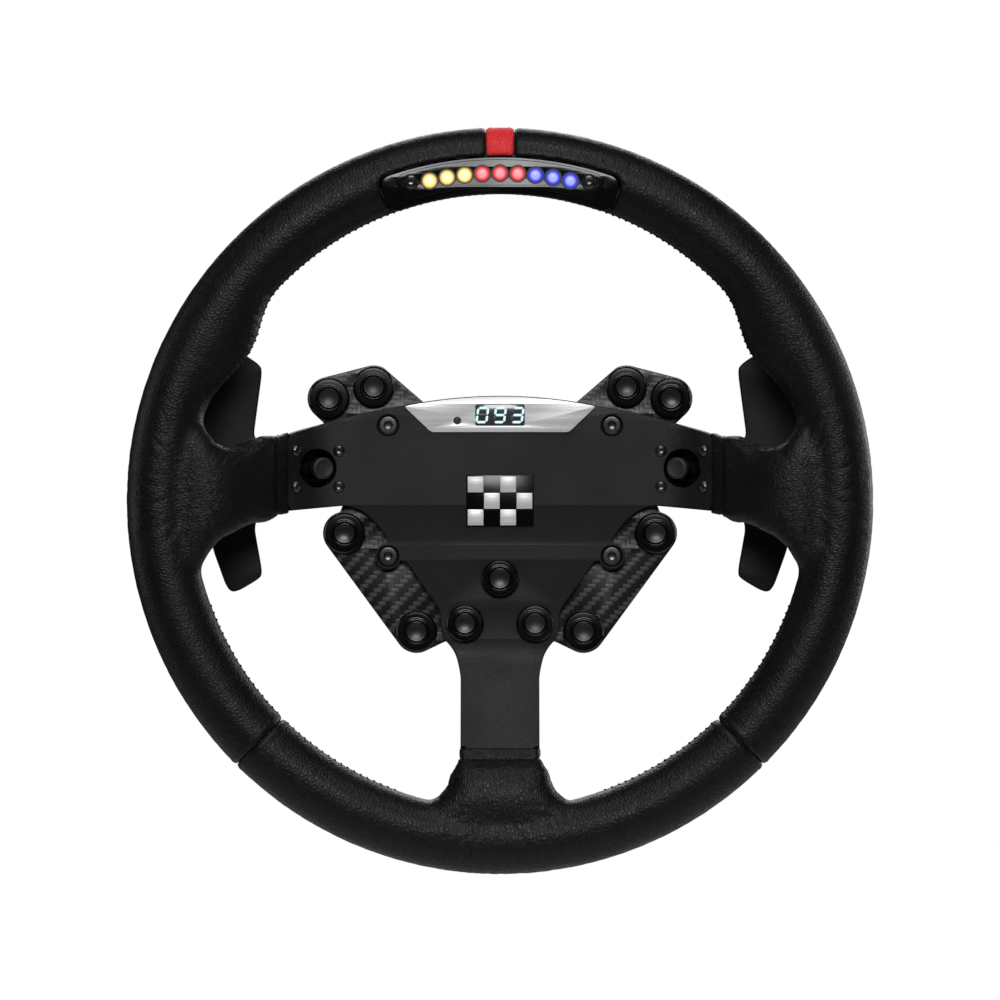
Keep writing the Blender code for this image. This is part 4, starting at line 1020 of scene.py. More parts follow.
def segment_outline(letter, wide, high, thick):
    """One slanted bar of a digit, as four to six corners."""
    half, top, cut_off = wide / 2, high / 2, thick / 2
    rows = {"a": (-half, top, half, top), "g": (-half, 0, half, 0), "d": (-half, -top, half, -top),
            "f": (-half, top, -half, 0), "b": (half, top, half, 0), "e": (-half, 0, -half, -top),
            "c": (half, 0, half, -top)}
    x1, z1, x2, z2 = rows[letter]
    along = Vector((x2 - x1, z2 - z1)).normalized()
    aside = Vector((-along.y, along.x)) * cut_off
    start, end = Vector((x1, z1)) + along * 0.16, Vector((x2, z2)) - along * 0.16
    points = [start, start + aside + along * cut_off, end + aside - along * cut_off, end,
              end - aside - along * cut_off, start - aside + along * cut_off]
    return [(p.x + p.y * 0.14, p.y) for p in points]


def digits_mesh(text, dark=False):
    meshes = []
    for index, digit in enumerate(text):
        centre = (index - 1) * 7.85
        for letter in "abcdefg":
            if (letter in SEGMENTS[digit]) != dark:
                points = segment_outline(letter, 4.4, 6.3, 1.05)
                loop = [(x + centre, z + DISPLAY_CENTRE) for x, z in points]
                meshes.append(plate("bar", [loop[::-1]], DISPLAY_FRONT + 0.62, DISPLAY_FRONT + 0.75, 0.02))
    made = joined(meshes)
    glow = made.attributes.new("glow", "FLOAT", "POINT")
    glow.data.foreach_set("value", [1.0] * len(made.vertices))
    return made


def build_display():
    strip = both_sides(crown(46.4, 42.8) + [(30.7, 30.6), (0, 30.6)])
    window = soften([(-11.0, 33.45), (11.0, 33.45), (11.0, 42.95), (-11.0, 42.95)], 1.0)
    loops = [soften(strip, 1.6, 5), window, circle((-19.0, 35.7), 1.7, 32)]
    mesh = plate("strip", loops, DISPLAY_FRONT, DISPLAY_FRONT + 1.0, 0.16, 2)
    add_piece("display_strip", mesh, BRUSHED, stands_for=["display_bezel"])
    glass = box((-11.6, DISPLAY_FRONT + 0.72, 33.05), (11.6, PLATE_FRONT + PLATE - 0.3, 43.35), 0.3)
    add_piece("display_glass", glass, GLASS, stands_for=["display_module"])
    add_piece("display_digits", digits_mesh("093"), lit("digit_glow", (0.62, 0.86, 0.95), 1.15))
    unlit = grained("unlit_segment", (0.060, 0.062, 0.060), (0.068, 0.070, 0.068), 0.3, 0.0, 0.5, 0.01)
    add_piece("display_unlit", digits_mesh("093", dark=True), unlit)
    sensor = lathe([(0, -0.2), (1.2, -0.05), (1.62, -0.5), (1.62, -1.0), (0, -1.0)],
                   at((-19.0, DISPLAY_FRONT, 35.7), TOWARD_DRIVER), 32, 0.1)
    add_piece("light_sensor", sensor, GLASS)


build_display()

# %% [markdown]
# ## Centre badge
# The hub carries a plain plate with a chequer of raised silver tiles, a pattern that belongs to
# nobody.  The tiles are one small pressed square repeated by the tree.

# %% Badge
def build_badge():
    front = PLATE_FRONT - 0.3
    base = box((-15.0, front - 0.55, -11.5), (15.0, front, 11.5), 0.25)
    add_piece("badge_plate", base, PLASTIC, stands_for=["centre_badge"])
    wide, high = 29.0 / 4, 22.0 / 3
    tile = box((-wide / 2 + 0.12, -high / 2 + 0.12, 0), (wide / 2 - 0.12, high / 2 - 0.12, 0.5), 0.14)
    spots = []
    for column in range(4):
        for row in range(3):
            if (column + row) % 2 == 0:
                point = ((column - 1.5) * wide, front - 0.5, (row - 1) * high)
                spots.append((point, Vector((0, -1, 0)), Vector((1, 0, 0))))
    add_repeats("badge_tiles", tile, spots, SILVER)


build_badge()

# %% [markdown]
# ## Rev-light bar
# An arched housing sits in a pocket of the rim, with a raised cover on it.  Nine lamps shine
# through: each is a small dome whose glow is strongest in the middle, with a soft halo of painted
# glow round it, a thin ring over the cover that emits and stands in for the lamp's spilled light.
# The fading is stored on the mesh as a number from one to nought.

# %% Bar, cover and lamps
BAR_INNER, BAR_OUTER, BAR_HALF_ANGLE = 135.2, 151.5, 20.8
COVER_INNER, COVER_OUTER, COVER_HALF_ANGLE = 137.8, 150.2, 18.1
BAR_FRONT = RIM_FRONT + 1.8
BAR_BACK = BAR_FRONT + 8.0
LED_ROW, LED_PITCH, LED_SCREW_ROW, LED_SCREW_ANGLE = 144.1, 3.1, 145.6, 15.6
# the second size is the width of the painted glow ring round each lamp
LAMP, PAINTED_HALO = 2.45, 1.5
LAMPS = {"yellow": ((0.95, 0.62, 0.12), (1.0, 0.90, 0.50)),
         "red": ((0.80, 0.004, 0.012), (1.0, 0.30, 0.33)),
         "blue": ((0.012, 0.016, 0.90), (0.34, 0.38, 1.0))}


def polar(radius, angle):
    return radius * math.cos(math.radians(angle)), radius * math.sin(math.radians(angle))


def round_ended(inner, outer, half_angle, radius):
    """An arched strip over the top of the wheel whose four corners are rounded."""
    turn = math.degrees(radius / outer)
    low, high = 90 - half_angle, 90 + half_angle
    loop = []
    for ring, other, inset, start, end, way in ((outer, inner, -radius, low, high, 1),
                                                (inner, outer, radius, high, low, -1)):
        loop += arc((0, 0), ring, start + way * turn, end - way * turn, 60)
        loop += rounded(loop[-1], polar(ring, end), polar(ring + inset, end))[1:]
        loop += rounded(polar(other - inset, end), polar(other, end), polar(other, end - way * turn))[:-1]
    return loop


def on_bar(radius, angle):
    return radius * math.sin(math.radians(angle)), radius * math.cos(math.radians(angle))


def lamp_mesh(place, rows):
    """Rings of (radius, height above the cover, glow) about a lamp's centre."""
    body, sides = bmesh.new(), 28
    layer = body.verts.layers.float.new("glow")
    rings = []
    for radius, height, glow in rows:
        points = [(0, 0)] if radius == 0 else circle((0, 0), radius, sides)
        ring = [body.verts.new(((place[0] + x) * MM, (RIM_FRONT - height) * MM, (place[1] + z) * MM))
                for x, z in points]
        for vert in ring:
            vert[layer] = glow
        rings.append(ring)
    bridge(body, rings, sides)
    bmesh.ops.recalc_face_normals(body, faces=body.faces)
    if body.faces[0].normal.y > 0:
        bmesh.ops.reverse_faces(body, faces=body.faces)
    return smooth(as_mesh(body, "lamp"))


def lamp_finish(name, halo, core, strength):
    """From the painted glow of the halo, black at its rim, through the lamp's colour to a core that is nearly
    white.
    """
    made = Finish(name, (0.01, 0.01, 0.01), 0.3)
    level = made.node("Attribute", output="Fac", attribute_name="glow")
    faint = made.colours(made.spread(level, 0.0, 0.42), (0, 0, 0), halo)
    full = made.colours(made.spread(level, 0.38, 0.85), faint, core)
    made.paint(Emission_Color=full)
    made.shader.inputs["Emission Strength"].default_value = strength
    return made


def build_lamps():
    dome = [(radius, 0.05 + 0.45 * (1 - (radius / LAMP) ** 2), 1.0 - 0.5 * (radius / LAMP) ** 2)
            for radius in np.linspace(0, LAMP, 7)]
    # painted glow: a flat ring just over the cover round each lamp emits, fading outward, in place of the
    # light the lamp spills onto the cover
    halo = [(radius, 0.035, 0.44 * (1 - (radius - LAMP) / PAINTED_HALO) ** 1.6)
            for radius in np.linspace(LAMP, LAMP + PAINTED_HALO, 6)]
    for index, (colour, (outer, core)) in enumerate(LAMPS.items()):
        finish = lamp_finish(colour + "_lamp", outer, core, 1.25)
        places = [on_bar(LED_ROW, (index * 3 + step - 4) * LED_PITCH) for step in range(3)]
        domes = [lamp_mesh(place, dome) for place in places]
        painted_halos = [lamp_mesh(place, halo) for place in places]
        add_piece(colour + "_lamps", joined(domes + painted_halos), finish)


def build_led_bar():
    screws = [on_bar(LED_SCREW_ROW, side * LED_SCREW_ANGLE) for side in (-1, 1)]
    ends = [round_ended(BAR_INNER, BAR_OUTER, BAR_HALF_ANGLE, 5.5)]
    holes = [circle(place, 1.8, 24) for place in screws]
    add_piece("led_bar_body", plate("bar", ends + holes, BAR_FRONT, BAR_BACK, 0.5, 2), PLASTIC,
              stands_for=["led_bar_housing"])
    lamps = [circle(on_bar(LED_ROW, (step - 4) * LED_PITCH), 2.6, 28) for step in range(9)]
    loops = [round_ended(COVER_INNER, COVER_OUTER, COVER_HALF_ANGLE, 5.2)] + holes + lamps
    add_piece("led_bar_face", plate("face", loops, RIM_FRONT, BAR_FRONT - GAP, 0.3, 2), PLASTIC,
              stands_for=["led_bar_cover"])
    spots = [((x, RIM_FRONT - 0.02, z), *FORWARD) for x, z in screws]
    add_repeats("led_bar_screws", button_head(3.45, 1.95, 1.2), spots, STEEL, 1.0, 9,
                stands_for=["led_bar_screw_left", "led_bar_screw_right"])
    build_lamps()


build_led_bar()

# %% [markdown]
# ## The leather rim
# Leather over foam is tight but never exact.  A fine ring is swollen under the thumbs, lofted
# sleeves run out along the arms, and a voxel remesh welds them into one skin.  The joins are
# relaxed as a stretched hide would be, the seams are sunk and their edges rolled, and creases
# are pressed in where the leather was pulled round the spokes.

# %% Ring and sleeves
THUMB_SWELL, THUMB_ANGLE, THUMB_SPAN = 7.3, 59.5, 13.5
SEAM_ANGLE, MARKER_HALF = 135.0, 2.25
VOXEL = 1.15


def thumb_swell(angle):
    reach = (angle - THUMB_ANGLE) / THUMB_SPAN
    return THUMB_SWELL * math.cos(math.pi / 2 * reach) ** 2 if abs(reach) < 1 else 0.0


def ring_mesh():
    """The round rim, swollen inward under the driver's thumbs."""
    points, faces = [], []
    around, sides = 360, 48
    for step in range(around):
        turn = math.radians(step * 360 / around)
        swell = thumb_swell(math.degrees(abs(math.atan2(math.sin(turn), math.cos(turn)))))
        for side in range(sides):
            angle = math.radians(side * 360 / sides)
            radius = RIM_RADIUS + TUBE * math.cos(angle)
            radius -= swell * max(-math.cos(angle), 0.0)
            points.append((radius * math.sin(turn) * MM, (RIM_MIDDLE + TUBE * math.sin(angle)) * MM,
                           radius * math.cos(turn) * MM))
            ahead, beside = (step + 1) % around, (side + 1) % sides
            faces.append((step * sides + side, ahead * sides + side,
                          ahead * sides + beside, step * sides + beside))
    mesh = bpy.data.meshes.new("ring")
    mesh.from_pydata(points, [], faces)
    return tidy_mesh(mesh)


def sleeve_sections(arm):
    """Along an arm: distance from the centre, one edge, other edge, half depth, squareness."""
    hem = PLATE / 2 + GAP + LEATHER_THICK
    if arm == "side":
        rows = [(0.0, 30.4, -5.6, hem, 0.2), (4.4, 28.9, -6.6, hem + 1, 0.3), (9.5, 29.1, -9.2, 8.5, 0.5),
                (16.3, 26.6, -10.2, 11.0, 0.6), (24.3, 24.0, -14.0, 12.6, 0.6),
                (32.3, 26.0, -19.5, 13.4, 0.6), (39.3, 37.0, -31.0, 13.4, 0.6), (48.3, 41.0, -38.0, 11.5, 0.6)]
        return np.array([(SIDE_HEM + row[0], *row[1:]) for row in rows])
    rows = [(0.0, 17.9, hem, 0.2), (5.8, 18.7, hem + 1, 0.3), (10.7, 21.7, 9.5, 0.5),
            (18.0, 24.0, 12.6, 0.6), (22.0, 28.0, 13.4, 0.6), (29.0, 36.0, 13.4, 0.6), (38.0, 40.0, 11.5, 0.6)]
    return np.array([(BOTTOM_HEM + step, half, -half, depth, bow) for step, half, depth, bow in rows])


def smooth_between(rows, distance):
    """A section between the listed ones, on a smooth curve through them."""
    places = rows[:, 0]
    index = int(np.clip(np.searchsorted(places, distance) - 1, 0, len(rows) - 2))
    slopes = np.gradient(rows, places, axis=0)
    span = places[index + 1] - places[index]
    share = np.clip((distance - places[index]) / span, 0, 1)
    basis = (2 * share ** 3 - 3 * share ** 2 + 1, share ** 3 - 2 * share ** 2 + share,
             3 * share ** 2 - 2 * share ** 3, share ** 3 - share ** 2)
    return (basis[0] * rows[index] + basis[1] * span * slopes[index]
            + basis[2] * rows[index + 1] + basis[3] * span * slopes[index + 1])


def sleeve_mesh(arm, side):
    """A closed sleeve; it starts short of the hem and is cut open there later."""
    bend = SIDE_BEND if arm == "side" else BOTTOM_BEND
    rows = sleeve_sections(arm)
    body, rings, sides = bmesh.new(), [], 64
    for distance in np.arange(rows[0, 0] - 3.0, rows[-1, 0] + 0.01, 1.5):
        _, high, low, half_depth, bow = smooth_between(rows, max(distance, rows[0, 0]))
        lean, front = slope(distance - bend), PLATE_FRONT - dish(distance - bend)
        ring = []
        for step in range(sides):
            angle = 2 * math.pi * (step + 0.5) / sides
            width = math.copysign(abs(math.cos(angle)) ** bow, math.cos(angle)) * (high - low) / 2
            rise = math.copysign(abs(math.sin(angle)) ** bow, math.sin(angle)) * half_depth
            across, depth = (high + low) / 2 + width, PLATE / 2 + rise
            out, y = distance + depth * math.sin(lean), front + depth * math.cos(lean)
            point = (side * out, y, across) if arm == "side" else (across, y, -out)
            ring.append(body.verts.new(Vector(point) * MM))
        rings.append(ring)
    bridge(body, rings, sides)
    body.faces.new(rings[0])
    body.faces.new(rings[-1])
    return tidy_mesh(as_mesh(body, "sleeve"))


# %% Weld them into one skin
RELAX_TURNS, EVEN_TURNS = 36, 3


def welded_skin():
    pocket = plate("pocket", [round_ended(BAR_INNER - 14, BAR_OUTER + 0.35, BAR_HALF_ANGLE + 0.18, 5.6)],
                   RIM_FRONT - 15, BAR_BACK + 0.6, 0.05)
    ring = cut(ring_mesh(), [pocket])
    sleeves = [sleeve_mesh("side", -1), sleeve_mesh("side", 1), sleeve_mesh("bottom", 1)]
    holder = link(bpy.data.objects.new("skin", joined([ring] + sleeves)))
    remesh = holder.modifiers.new("weld", "REMESH")
    remesh.mode = "VOXEL"
    remesh.voxel_size = VOXEL * MM
    remesh.adaptivity = 0.0
    mesh = evaluated_mesh(holder)
    bpy.data.objects.remove(holder)
    return mesh


def relax(mesh):
    """Even out the voxel steps everywhere, and round the joins between rim and sleeves well."""
    count = len(mesh.vertices)
    points = np.empty(count * 3)
    mesh.vertices.foreach_get("co", points)
    points = points.reshape(-1, 3)
    edges = np.empty(len(mesh.edges) * 2, int)
    mesh.edges.foreach_get("vertices", edges)
    first, second = edges.reshape(-1, 2).T
    links = np.bincount(first, minlength=count) + np.bincount(second, minlength=count)
    x, z = np.abs(points[:, 0]) / MM, points[:, 2] / MM
    side_join = np.exp(-((x - 133) / 15) ** 2) * np.exp(-((z - 4) / 46) ** 4)
    bottom_join = np.exp(-((-z - 136) / 14) ** 2) * np.exp(-(x / 44) ** 4)
    pull = np.clip(np.maximum(side_join, bottom_join), 0, 1)
    for turn in range(RELAX_TURNS):
        total = np.zeros_like(points)
        np.add.at(total, first, points[second])
        np.add.at(total, second, points[first])
        weight = (0.5 * pull)[:, None] if turn >= EVEN_TURNS else 0.45
        points += weight * (total / links[:, None] - points)
    mesh.vertices.foreach_set("co", points.ravel())
    mesh.update()
    return mesh


skin = relax(welded_skin())
print("welded skin", len(skin.vertices), "points")


# %% Press the creases in
SPOKE_ROOTS, FAN_REACH = [(131, 6), (-131, 6), (0, -133)], 34
CREASE_DEPTH, SMOOTH_TOP = 0.55, 6.0


def ridged(x, y, z, seed=0.0):
    """Sharp-bottomed folds: nought along a crease, rising to one between them."""
    return min(abs(noise.noise(Vector((x, y, z + seed)))) * 4.0, 1.0)


def crease_depth(x, y, z):
    """How far (mm) the leather lies below its smooth form at a point."""
    radius, angle = math.hypot(x, z), math.degrees(math.atan2(x, z))
    length = math.radians(angle) * RIM_RADIUS
    depth = 0.16 * (1 - ridged(length * 0.16, radius * 0.03, y * 0.03))
    depth += 0.07 * noise.noise(Vector((length * 0.5, radius * 0.1, y * 0.1)))
    for centre_x, centre_z in SPOKE_ROOTS:
        away = math.hypot(x - centre_x, z - centre_z)
        if away < FAN_REACH * 1.6:
            fan = math.atan2(z - centre_z, x - centre_x)
            fade = math.exp(-((away - FAN_REACH * 0.62) / (FAN_REACH * 0.42)) ** 2)
            depth += 0.75 * fade * (1 - ridged(fan * 4.6, away * 0.035, y * 0.03, 9.0)) ** 2
    gathered = math.exp(-((abs(angle) - 60) / 14) ** 2) * max(0.0, min(1.0, (144 - radius) / 8))
    depth += 0.42 * gathered * (1 - ridged(length * 0.30, 0.4, y * 0.05, 4.0))
    return CREASE_DEPTH * depth * min(1.0, abs(angle) / SMOOTH_TOP)


def press(mesh):
    """Move every point inward along its normal by the depth of the creases there."""
    pressed = []
    for vert in mesh.vertices:
        x, y, z = vert.co / MM
        pressed.extend(vert.co - vert.normal * crease_depth(x, y, z) * MM)
    mesh.vertices.foreach_set("co", pressed)
    mesh.update()


press(skin)


# %% Cut the panels and roll their edges
def seam_plane(angle):
    """Direction that is positive clockwise of a seam at an angle from the top."""
    turn = math.radians(angle)
    return Vector((math.cos(turn), 0, -math.sin(turn)))


def slice_at(body, faces, point, normal, clear=False):
    edges = {edge for face in faces for edge in face.edges}
    corners = {vert for face in faces for vert in face.verts}
    bmesh.ops.bisect_plane(body, geom=list(corners) + list(edges) + list(faces), dist=0.0000005,
                           plane_co=point, plane_no=normal, clear_inner=clear)


HEMS = [((1, 0, 0), SIDE_HEM, lambda x, z: 80 < x < 118 and -22 < z < 40),
        ((-1, 0, 0), SIDE_HEM, lambda x, z: 80 < -x < 118 and -22 < z < 40),
        ((0, 0, -1), BOTTOM_HEM, lambda x, z: 95 < -z < 128 and abs(x) < 27)]
ROLL = [0.0, 0.35, 0.8, 1.5, 2.4]
HEM_BAND = 4.6


def leather_panel(start, end, gap=0.16):
    """The skin between two seams (degrees from the top), its cut edges rolled under."""
    body = bmesh.new()
    body.from_mesh(skin)
    limits = [seam_plane(start), -seam_plane(end)]
    for normal in limits:
        slice_at(body, body.faces[:], normal * gap * MM, normal, True)
        for step in ROLL[1:]:
            slice_at(body, body.faces[:], normal * (gap + step) * MM, normal)
    for direction, hem, near in HEMS:
        direction = Vector(direction)
        for index, step in enumerate((0.0, 0.4, 0.9, 1.6, HEM_BAND - 0.5, HEM_BAND, HEM_BAND + 0.5)):
            faces = [face for face in body.faces if near(*(face.calc_center_median() / MM).xz)]
            if faces:
                slice_at(body, faces, direction * (hem + step) * MM, direction, index == 0)
    body.normal_update()
    moves = []
    for vert in body.verts:
        x, y, z = vert.co / MM
        sink = 0.0
        for normal in limits:
            away = vert.co.dot(normal) / MM - gap
            if away < 2.6:
                sink += 0.85 * (1 - min(away / 2.0, 1.0)) ** 2.4
                sink -= 0.18 * math.exp(-((away - 2.6) / 1.2) ** 2)
        for direction, hem, near in HEMS:
            if near(x, z):
                away = vert.co.dot(Vector(direction)) / MM - hem
                wave = 0.12 * noise.noise(Vector((x * 0.4, y * 0.4, z * 0.4)))
                sink += 0.6 * (1 - min(max(away, 0) / 1.0, 1.0)) ** 2 + wave
                sink += 0.55 * math.exp(-((away - HEM_BAND) / 0.55) ** 2)
        moves.append(vert.normal * -sink * MM)
    for vert, move in zip(body.verts, moves):
        vert.co += move
    layer = body.verts.layers.float_vector.new("unrolled")
    middle = math.radians((start + end) / 2)
    for vert in body.verts:
        x, y, z = vert.co
        turn = (math.atan2(x, z) - middle + math.pi) % (2 * math.pi) - math.pi
        vert[layer] = Vector((turn * RIM_RADIUS * MM, math.hypot(x, z), y))
    holder = link(bpy.data.objects.new("panel", as_mesh(body, "panel")))
    wall = holder.modifiers.new("thickness", "SOLIDIFY")
    wall.thickness = LEATHER_THICK * MM
    wall.offset = -1.0
    made = evaluated_mesh(holder)
    bpy.data.objects.remove(holder)
    return smooth(made)


def build_leather():
    panels = {"leather_right": (MARKER_HALF, SEAM_ANGLE, LEATHER_BLACK),
              "leather_left": (-SEAM_ANGLE, -MARKER_HALF, LEATHER_BLACK),
              "leather_bottom": (SEAM_ANGLE, 360 - SEAM_ANGLE, LEATHER_BLACK),
              "centre_marker": (-MARKER_HALF, MARKER_HALF, LEATHER_RED)}
    for node, (start, end, finish) in panels.items():
        name = node.replace("leather", "grip").replace("centre", "red")
        piece = add_piece(name, leather_panel(start, end), finish, stands_for=[node])


build_leather()

# %% [markdown]
# ## Stitches
# The cover is laced along the inside of the rim with a thick waxed thread.  Each stitch is one
# bent bead of thread; the tree lays them on points found on the skin, so they follow the thumb
# swells.

# %% Lacing
def thread_bead():
    """One stitch on local Z 0: it rises from the leather and dives back."""
    body, sides, rings = bmesh.new(), 6, []
    for share in np.linspace(-1, 1, 7):
        radius = 0.36 * math.sqrt(max(1 - abs(share) ** 4, 0.05))
        centre = Vector((share * 1.9, share * 0.55, 0.30 * (1 - share ** 2) - 0.16))
        offsets = [Vector((0, radius * math.cos(a), radius * math.sin(a)))
                   for a in np.linspace(0, 2 * math.pi, sides + 1)[:-1]]
        rings.append([body.verts.new((centre + offset) * MM) for offset in offsets])
    bridge(body, rings, sides)
    body.faces.new(rings[0])
    body.faces.new(rings[-1])
    return tidy_mesh(as_mesh(body, "bead"), 80)


STITCH_PITCH = 3.0


def lacing_places():
    tree = BVHTree.FromPolygons([v.co for v in skin.vertices], [p.vertices[:] for p in skin.polygons])
    spots, radius = [], RIM_RADIUS - TUBE
    runs = [(3.2, 66.0), (110.0, 133.6), (136.4, 160.0)]
    for start, end in runs:
        count = int(math.radians(end - start) * radius / STITCH_PITCH)
        for angle in np.linspace(start, end, count):
            for side in (-1, 1):
                turn = math.radians(side * angle)
                inward = Vector((-math.sin(turn), 0, -math.cos(turn)))
                sought = inward * -(radius - 12) * MM + Vector((0, (RIM_MIDDLE - 1.0) * MM, 0))
                point, normal, _, _ = tree.ray_cast(sought, -inward)
                if point is not None:
                    outward = normal if normal.dot(inward) > 0 else -normal
                    spots.append((point / MM, outward, Vector((0, 1, 0))))
    return spots


add_repeats("lacing", thread_bead(), lacing_places(), THREAD)

# %% [markdown]
# ## Shift paddles
# Each paddle is a waterjet-cut blade on an upright hinge.  It is rounded all along its edge,
# because fingers pull it.  The bracket, the pin and the barrel sit behind the hub.

# %% Paddles
HOUSING_SIDE, PIN_OFFSET = 57.0, 8.0
PIN_Y = (HOUSING_BACK + HOUSING_FRONT) / 2 + 5.0


def build_paddle(side_name, side):
    name, root = "paddle_" + side_name, HOUSING_SIDE + PIN_OFFSET
    blade = [(root, 21.5), (100.0, 23.5), (110.8, 27.0), (106.6, 58.5), (108.0, 61.2), (113.2, 64.8),
             (125.5, 72.0), (135.0, 42.0), (133.0, 5.0), (129.3, -20.3), (122.5, -39.3), (119.0, -41.4),
             (108.0, -35.0), (106.5, -32.5), (110.5, -10.0), (100.0, 4.5), (root, 6.5)]
    outline = [(side * x, z) for x, z in soften(blade, 5.0, 6)]
    slots = [soften([(side * (x - 4), z - 1.6), (side * (x + 4), z - 1.6), (side * (x + 4), z + 1.6),
                     (side * (x - 4), z + 1.6)], 1.55, 5) for x, z in ((88, 14.5), (74, 14.5))]
    sheet = plate(name, [outline] + slots, PIN_Y - 1.5, PIN_Y + 1.5, 0.8, 3)
    barrel = lathe([(0, 5), (4.0, 5), (4.0, 23), (0, 23)], at((side * root, PIN_Y, 0)), 40, 0.4)
    bore = lathe([(0, 0), (2.3, 0), (2.3, 28), (0, 28)], at((side * root, PIN_Y, 0)), 32, 0)
    blade_mesh = cut(cut(sheet, [barrel], "UNION"), [bore])
    add_piece(name + "_blade", blade_mesh, PADDLE_BLACK, name, [name])
    wall, reach = HOUSING_SIDE + GAP, root + 4.0
    low, high = min(side * wall, side * reach), max(side * wall, side * reach)
    block = box((low, PIN_Y - 5, -0.3), (high, PIN_Y + 5, 28.3), 0.7)
    mouth = sorted((side * (wall + 3.0), side * (reach + 5)))
    slot = box((mouth[0], PIN_Y - 9, 4.7), (mouth[1], PIN_Y + 9, 23.3), 0.2)
    hole = lathe([(0, -4), (2.3, -4), (2.3, 32), (0, 32)], at((side * root, PIN_Y, 0)), 32, 0)
    add_piece(name + "_fork", cut(block, [slot, hole]), ANODISED, stands_for=[name + "_bracket"])
    pin = [(0, -1.1), (2.0, -1.1), (2.0, 29.1), (0, 29.1)]
    add_piece(name + "_axle", lathe(pin, at((side * root, PIN_Y, 0)), 32, 0.35), STEEL,
              frame["nodes"][name + "_pin"]["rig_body"], [name + "_pin"])


for side_name, side in (("left", -1), ("right", 1)):
    build_paddle(side_name, side)

# %% [markdown]
# ## Rear housing and hub
# The electronics sit in a moulded tray.  Its back has a shadow groove, cooling slots, six
# screws and a round collar where the machined hub adapter stands.  The release ring slides on
# the adapter, with grip ribs set round it by the repeat tree.

# %% Tray
POST, VENT = 5.1, 0.9
HOUSING_HALF = [(52, 38.5), (57, 34), (57, -26), (50, -33), (26, -50), (25.5, -60), (20, -66.5)]


def inset(points, wall):
    return [(max(x - wall, 0), z - math.copysign(wall, z)) for x, z in points]


def tray_outline(wall=0.0, radius=4.0):
    return soften(both_sides(inset(HOUSING_HALF, wall) if wall else HOUSING_HALF), radius, 6)


def build_tray():
    shell = plate("tray", [tray_outline()], HOUSING_FRONT, HOUSING_BACK, 1.4, 4)
    room = plate("room", [tray_outline(2.5, 3.0)], HOUSING_FRONT - 4, HOUSING_BACK - 2.5, 0.3)
    post = [(0, 0), (POST, 0), (POST, 30), (0, 30)]
    posts = [lathe(post, at((x, HOUSING_BACK + 4, z), TOWARD_DRIVER), 32, 0) for x, z in SCREW_PLACES]
    room = cut(room, posts)
    groove = plate("groove", [tray_outline(-0.6), tray_outline(0.45)],
                   HOUSING_BACK - 7.4, HOUSING_BACK - 6.8, 0.05)
    bores = [lathe([(0, 0), (SHANK_HOLE, 0), (SHANK_HOLE, 10.3), (0, 10.3)],
                   at((x, HOUSING_FRONT + 9.3, z), TOWARD_DRIVER), 32, 0) for x, z in SCREW_PLACES]
    vents = [box((x - VENT, HOUSING_BACK - 3.5, -30.5),
                 (x + VENT, HOUSING_BACK + 1, -39.0 if abs(x) > 13 else -44.0), 0.2)
             for x in np.arange(-22, 22.1, 4.0)]
    port = box((-5.2, HOUSING_BACK - 12.6, -68), (5.2, HOUSING_BACK - 8.6, -62), 1.0)
    tray = cut(shell, [room, groove, port] + bores + vents)
    add_piece("tray", tray, HOUSING, stands_for=["rear_housing"])


def build_tray_details():
    seats = [(side * x, z) for x, z in ((50.5, 32.0), (50.5, -24.5), (19.5, -58.5)) for side in (-1, 1)]
    spots = [((x, HOUSING_BACK + 0.02, z), *BACKWARD) for x, z in seats]
    add_repeats("tray_screws", button_head(2.9, 1.5, 1.2), spots, STEEL, 1.0, 3)
    collar = lathe([(36.2, 0.0), (36.2, 1.2), (38.4, 1.2), (39.4, 0.0), (36.2, 0.0)],
                   at((0, HOUSING_BACK + 0.02, 0), Matrix.Rotation(math.radians(-90), 4, "X")), 96, 0.2)
    add_piece("hub_collar", collar, HOUSING)


build_tray()
build_tray_details()

# %% Hub adapter and release ring
RELEASE_PLACE, RELEASE_RADIUS = -19.0, 31.2


def turns(step, start=0):
    return np.radians(np.arange(start, start + 360, step))


def about_hub(radius, y, turn):
    return radius * math.cos(turn), y, radius * math.sin(turn)


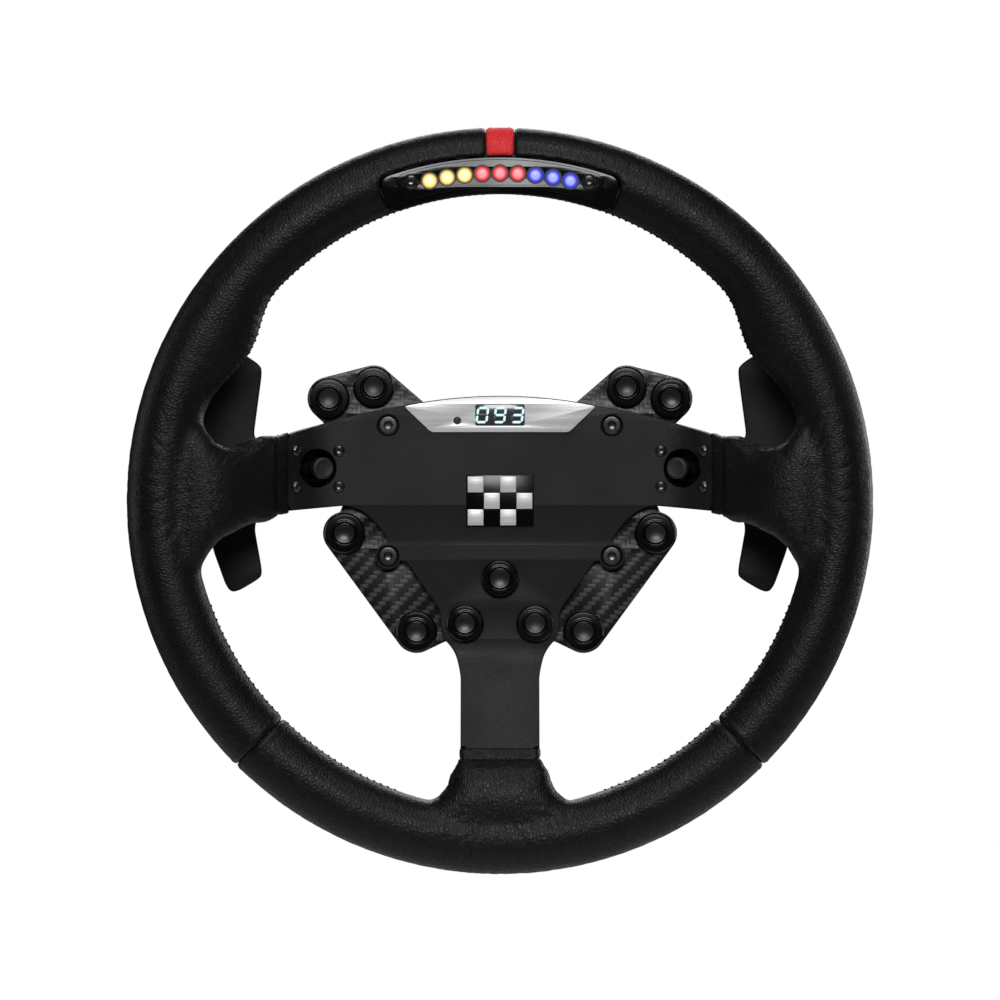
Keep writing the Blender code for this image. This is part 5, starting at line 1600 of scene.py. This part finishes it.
def build_hub():
    rows = [(0, 44), (34.2, 44), (35, 43.2), (35, 39.1), (34.4, 38.5), (25, 38.5), (25, 8), (24, 7),
            (24, 4), (25, 3), (25, 1), (24.2, 0), (17, 0), (16.4, 0.5), (16.4, 6.0), (0, 6.0)]
    body = lathe(rows, at((0, 0, 0), TOWARD_DRIVER), 96, 0.25)
    seats = [lathe([(0, 5), (2.4, 5), (2.4, -1.5), (0, -1.5)],
                   at(about_hub(24.2, -9.8, turn), Matrix.Rotation(math.pi / 2 - turn, 4, "Y")), 24, 0)
             for turn in turns(60.0)]
    add_piece("hub_coupling", cut(body, seats), TURNED, stands_for=["hub_adapter"])
    bolts = [(about_hub(29.9, -38.45, turn), *BACKWARD) for turn in turns(60.0, 30)]
    add_repeats("flange_bolts", button_head(3.4, 1.9, 1.5), bolts, STEEL, 1.0, 2)
    contact = lathe([(0, 0), (0.8, 0), (0.8, 3.2), (0.55, 3.6), (0, 3.75)], UPRIGHT, 16, 0)
    pins = [((column * 3.0, -6.0, row * 3.0), *BACKWARD)
            for column in (-1.5, -0.5, 0.5, 1.5) for row in (-0.5, 0.5)]
    brass = grained("gold_contact", (0.62, 0.42, 0.14), (0.80, 0.56, 0.22), 0.25, 1.0, 0.4, 0.01)
    add_repeats("contact_pins", contact, pins, brass)
    ring = [(25.3, -7), (25.3, 7), (30.4, 7), (RELEASE_RADIUS, 6.2), (RELEASE_RADIUS, -6.2), (30.4, -7),
            (25.3, -7)]
    sleeve = lathe(ring, at((0, RELEASE_PLACE, 0), TOWARD_DRIVER), 96, 0.25)
    add_piece("release_sleeve", sleeve, TURNED_BLACK, "release_ring", ["release_ring"])
    rib = box((-0.55, -4.6, -0.5), (0.55, 4.6, 0.8), 0.28)
    spots = [(about_hub(RELEASE_RADIUS, RELEASE_PLACE, turn), Vector(about_hub(1, 0, turn)),
              Vector((-math.sin(turn), 0, math.cos(turn)))) for turn in turns(6.0)]
    add_repeats("release_ribs", rib, spots, TURNED_BLACK, body="release_ring")


build_hub()

# %% [markdown]
# ## Pieces that stay as they came
# The foam, the boards and the light strip are sealed inside.  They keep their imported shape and
# get a finish of their own: open-cell foam, and green lacquer over copper tracks.

# %% Inner pieces
def circuit_board(name):
    made = Finish(name, (0.01, 0.09, 0.04), 0.35, Coat_Weight=0.4)
    point = made.place()
    cells = made.node("TexBrick", {"Vector": point, "Scale": 160.0, "Mortar Size": 0.03}, output=1)
    track = made.spread(cells, 0.2, 0.8)
    made.paint(Base_Color=made.colours(track, (0.008, 0.075, 0.032), (0.05, 0.22, 0.10)),
               Normal=made.relief(track, 0.05, 0.6))
    return made


FOAM = grained("open_cell_foam", (0.05, 0.05, 0.05), (0.11, 0.11, 0.11), 0.9, 0.0, 1.2, 0.4)
BOARD = circuit_board("circuit_board")
LENS = grained("milky_lens", (0.55, 0.55, 0.52), (0.65, 0.65, 0.62), 0.35, 0.0, 1.0, 0.01)
KEPT = {"rim_foam": FOAM, "led_board": BOARD, "main_board": BOARD, "led_light_guide": LENS}
for node, finish in KEPT.items():
    mesh = frame["nodes"][node].data
    if mesh.materials:
        mesh.materials[0] = finish.material
    else:
        mesh.materials.append(finish.material)
    print(node, "keeps its shape and wears", finish.material.name)

# %% [markdown]
# ## Check the size
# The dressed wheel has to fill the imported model's box and no more.

# %% Compare the two boxes
seen_low, seen_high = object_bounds()
growth = [round((b - a) / MM, 2) for a, b in zip(cad_high, seen_high)]
print("box grew by", growth, "mm at its high corner")
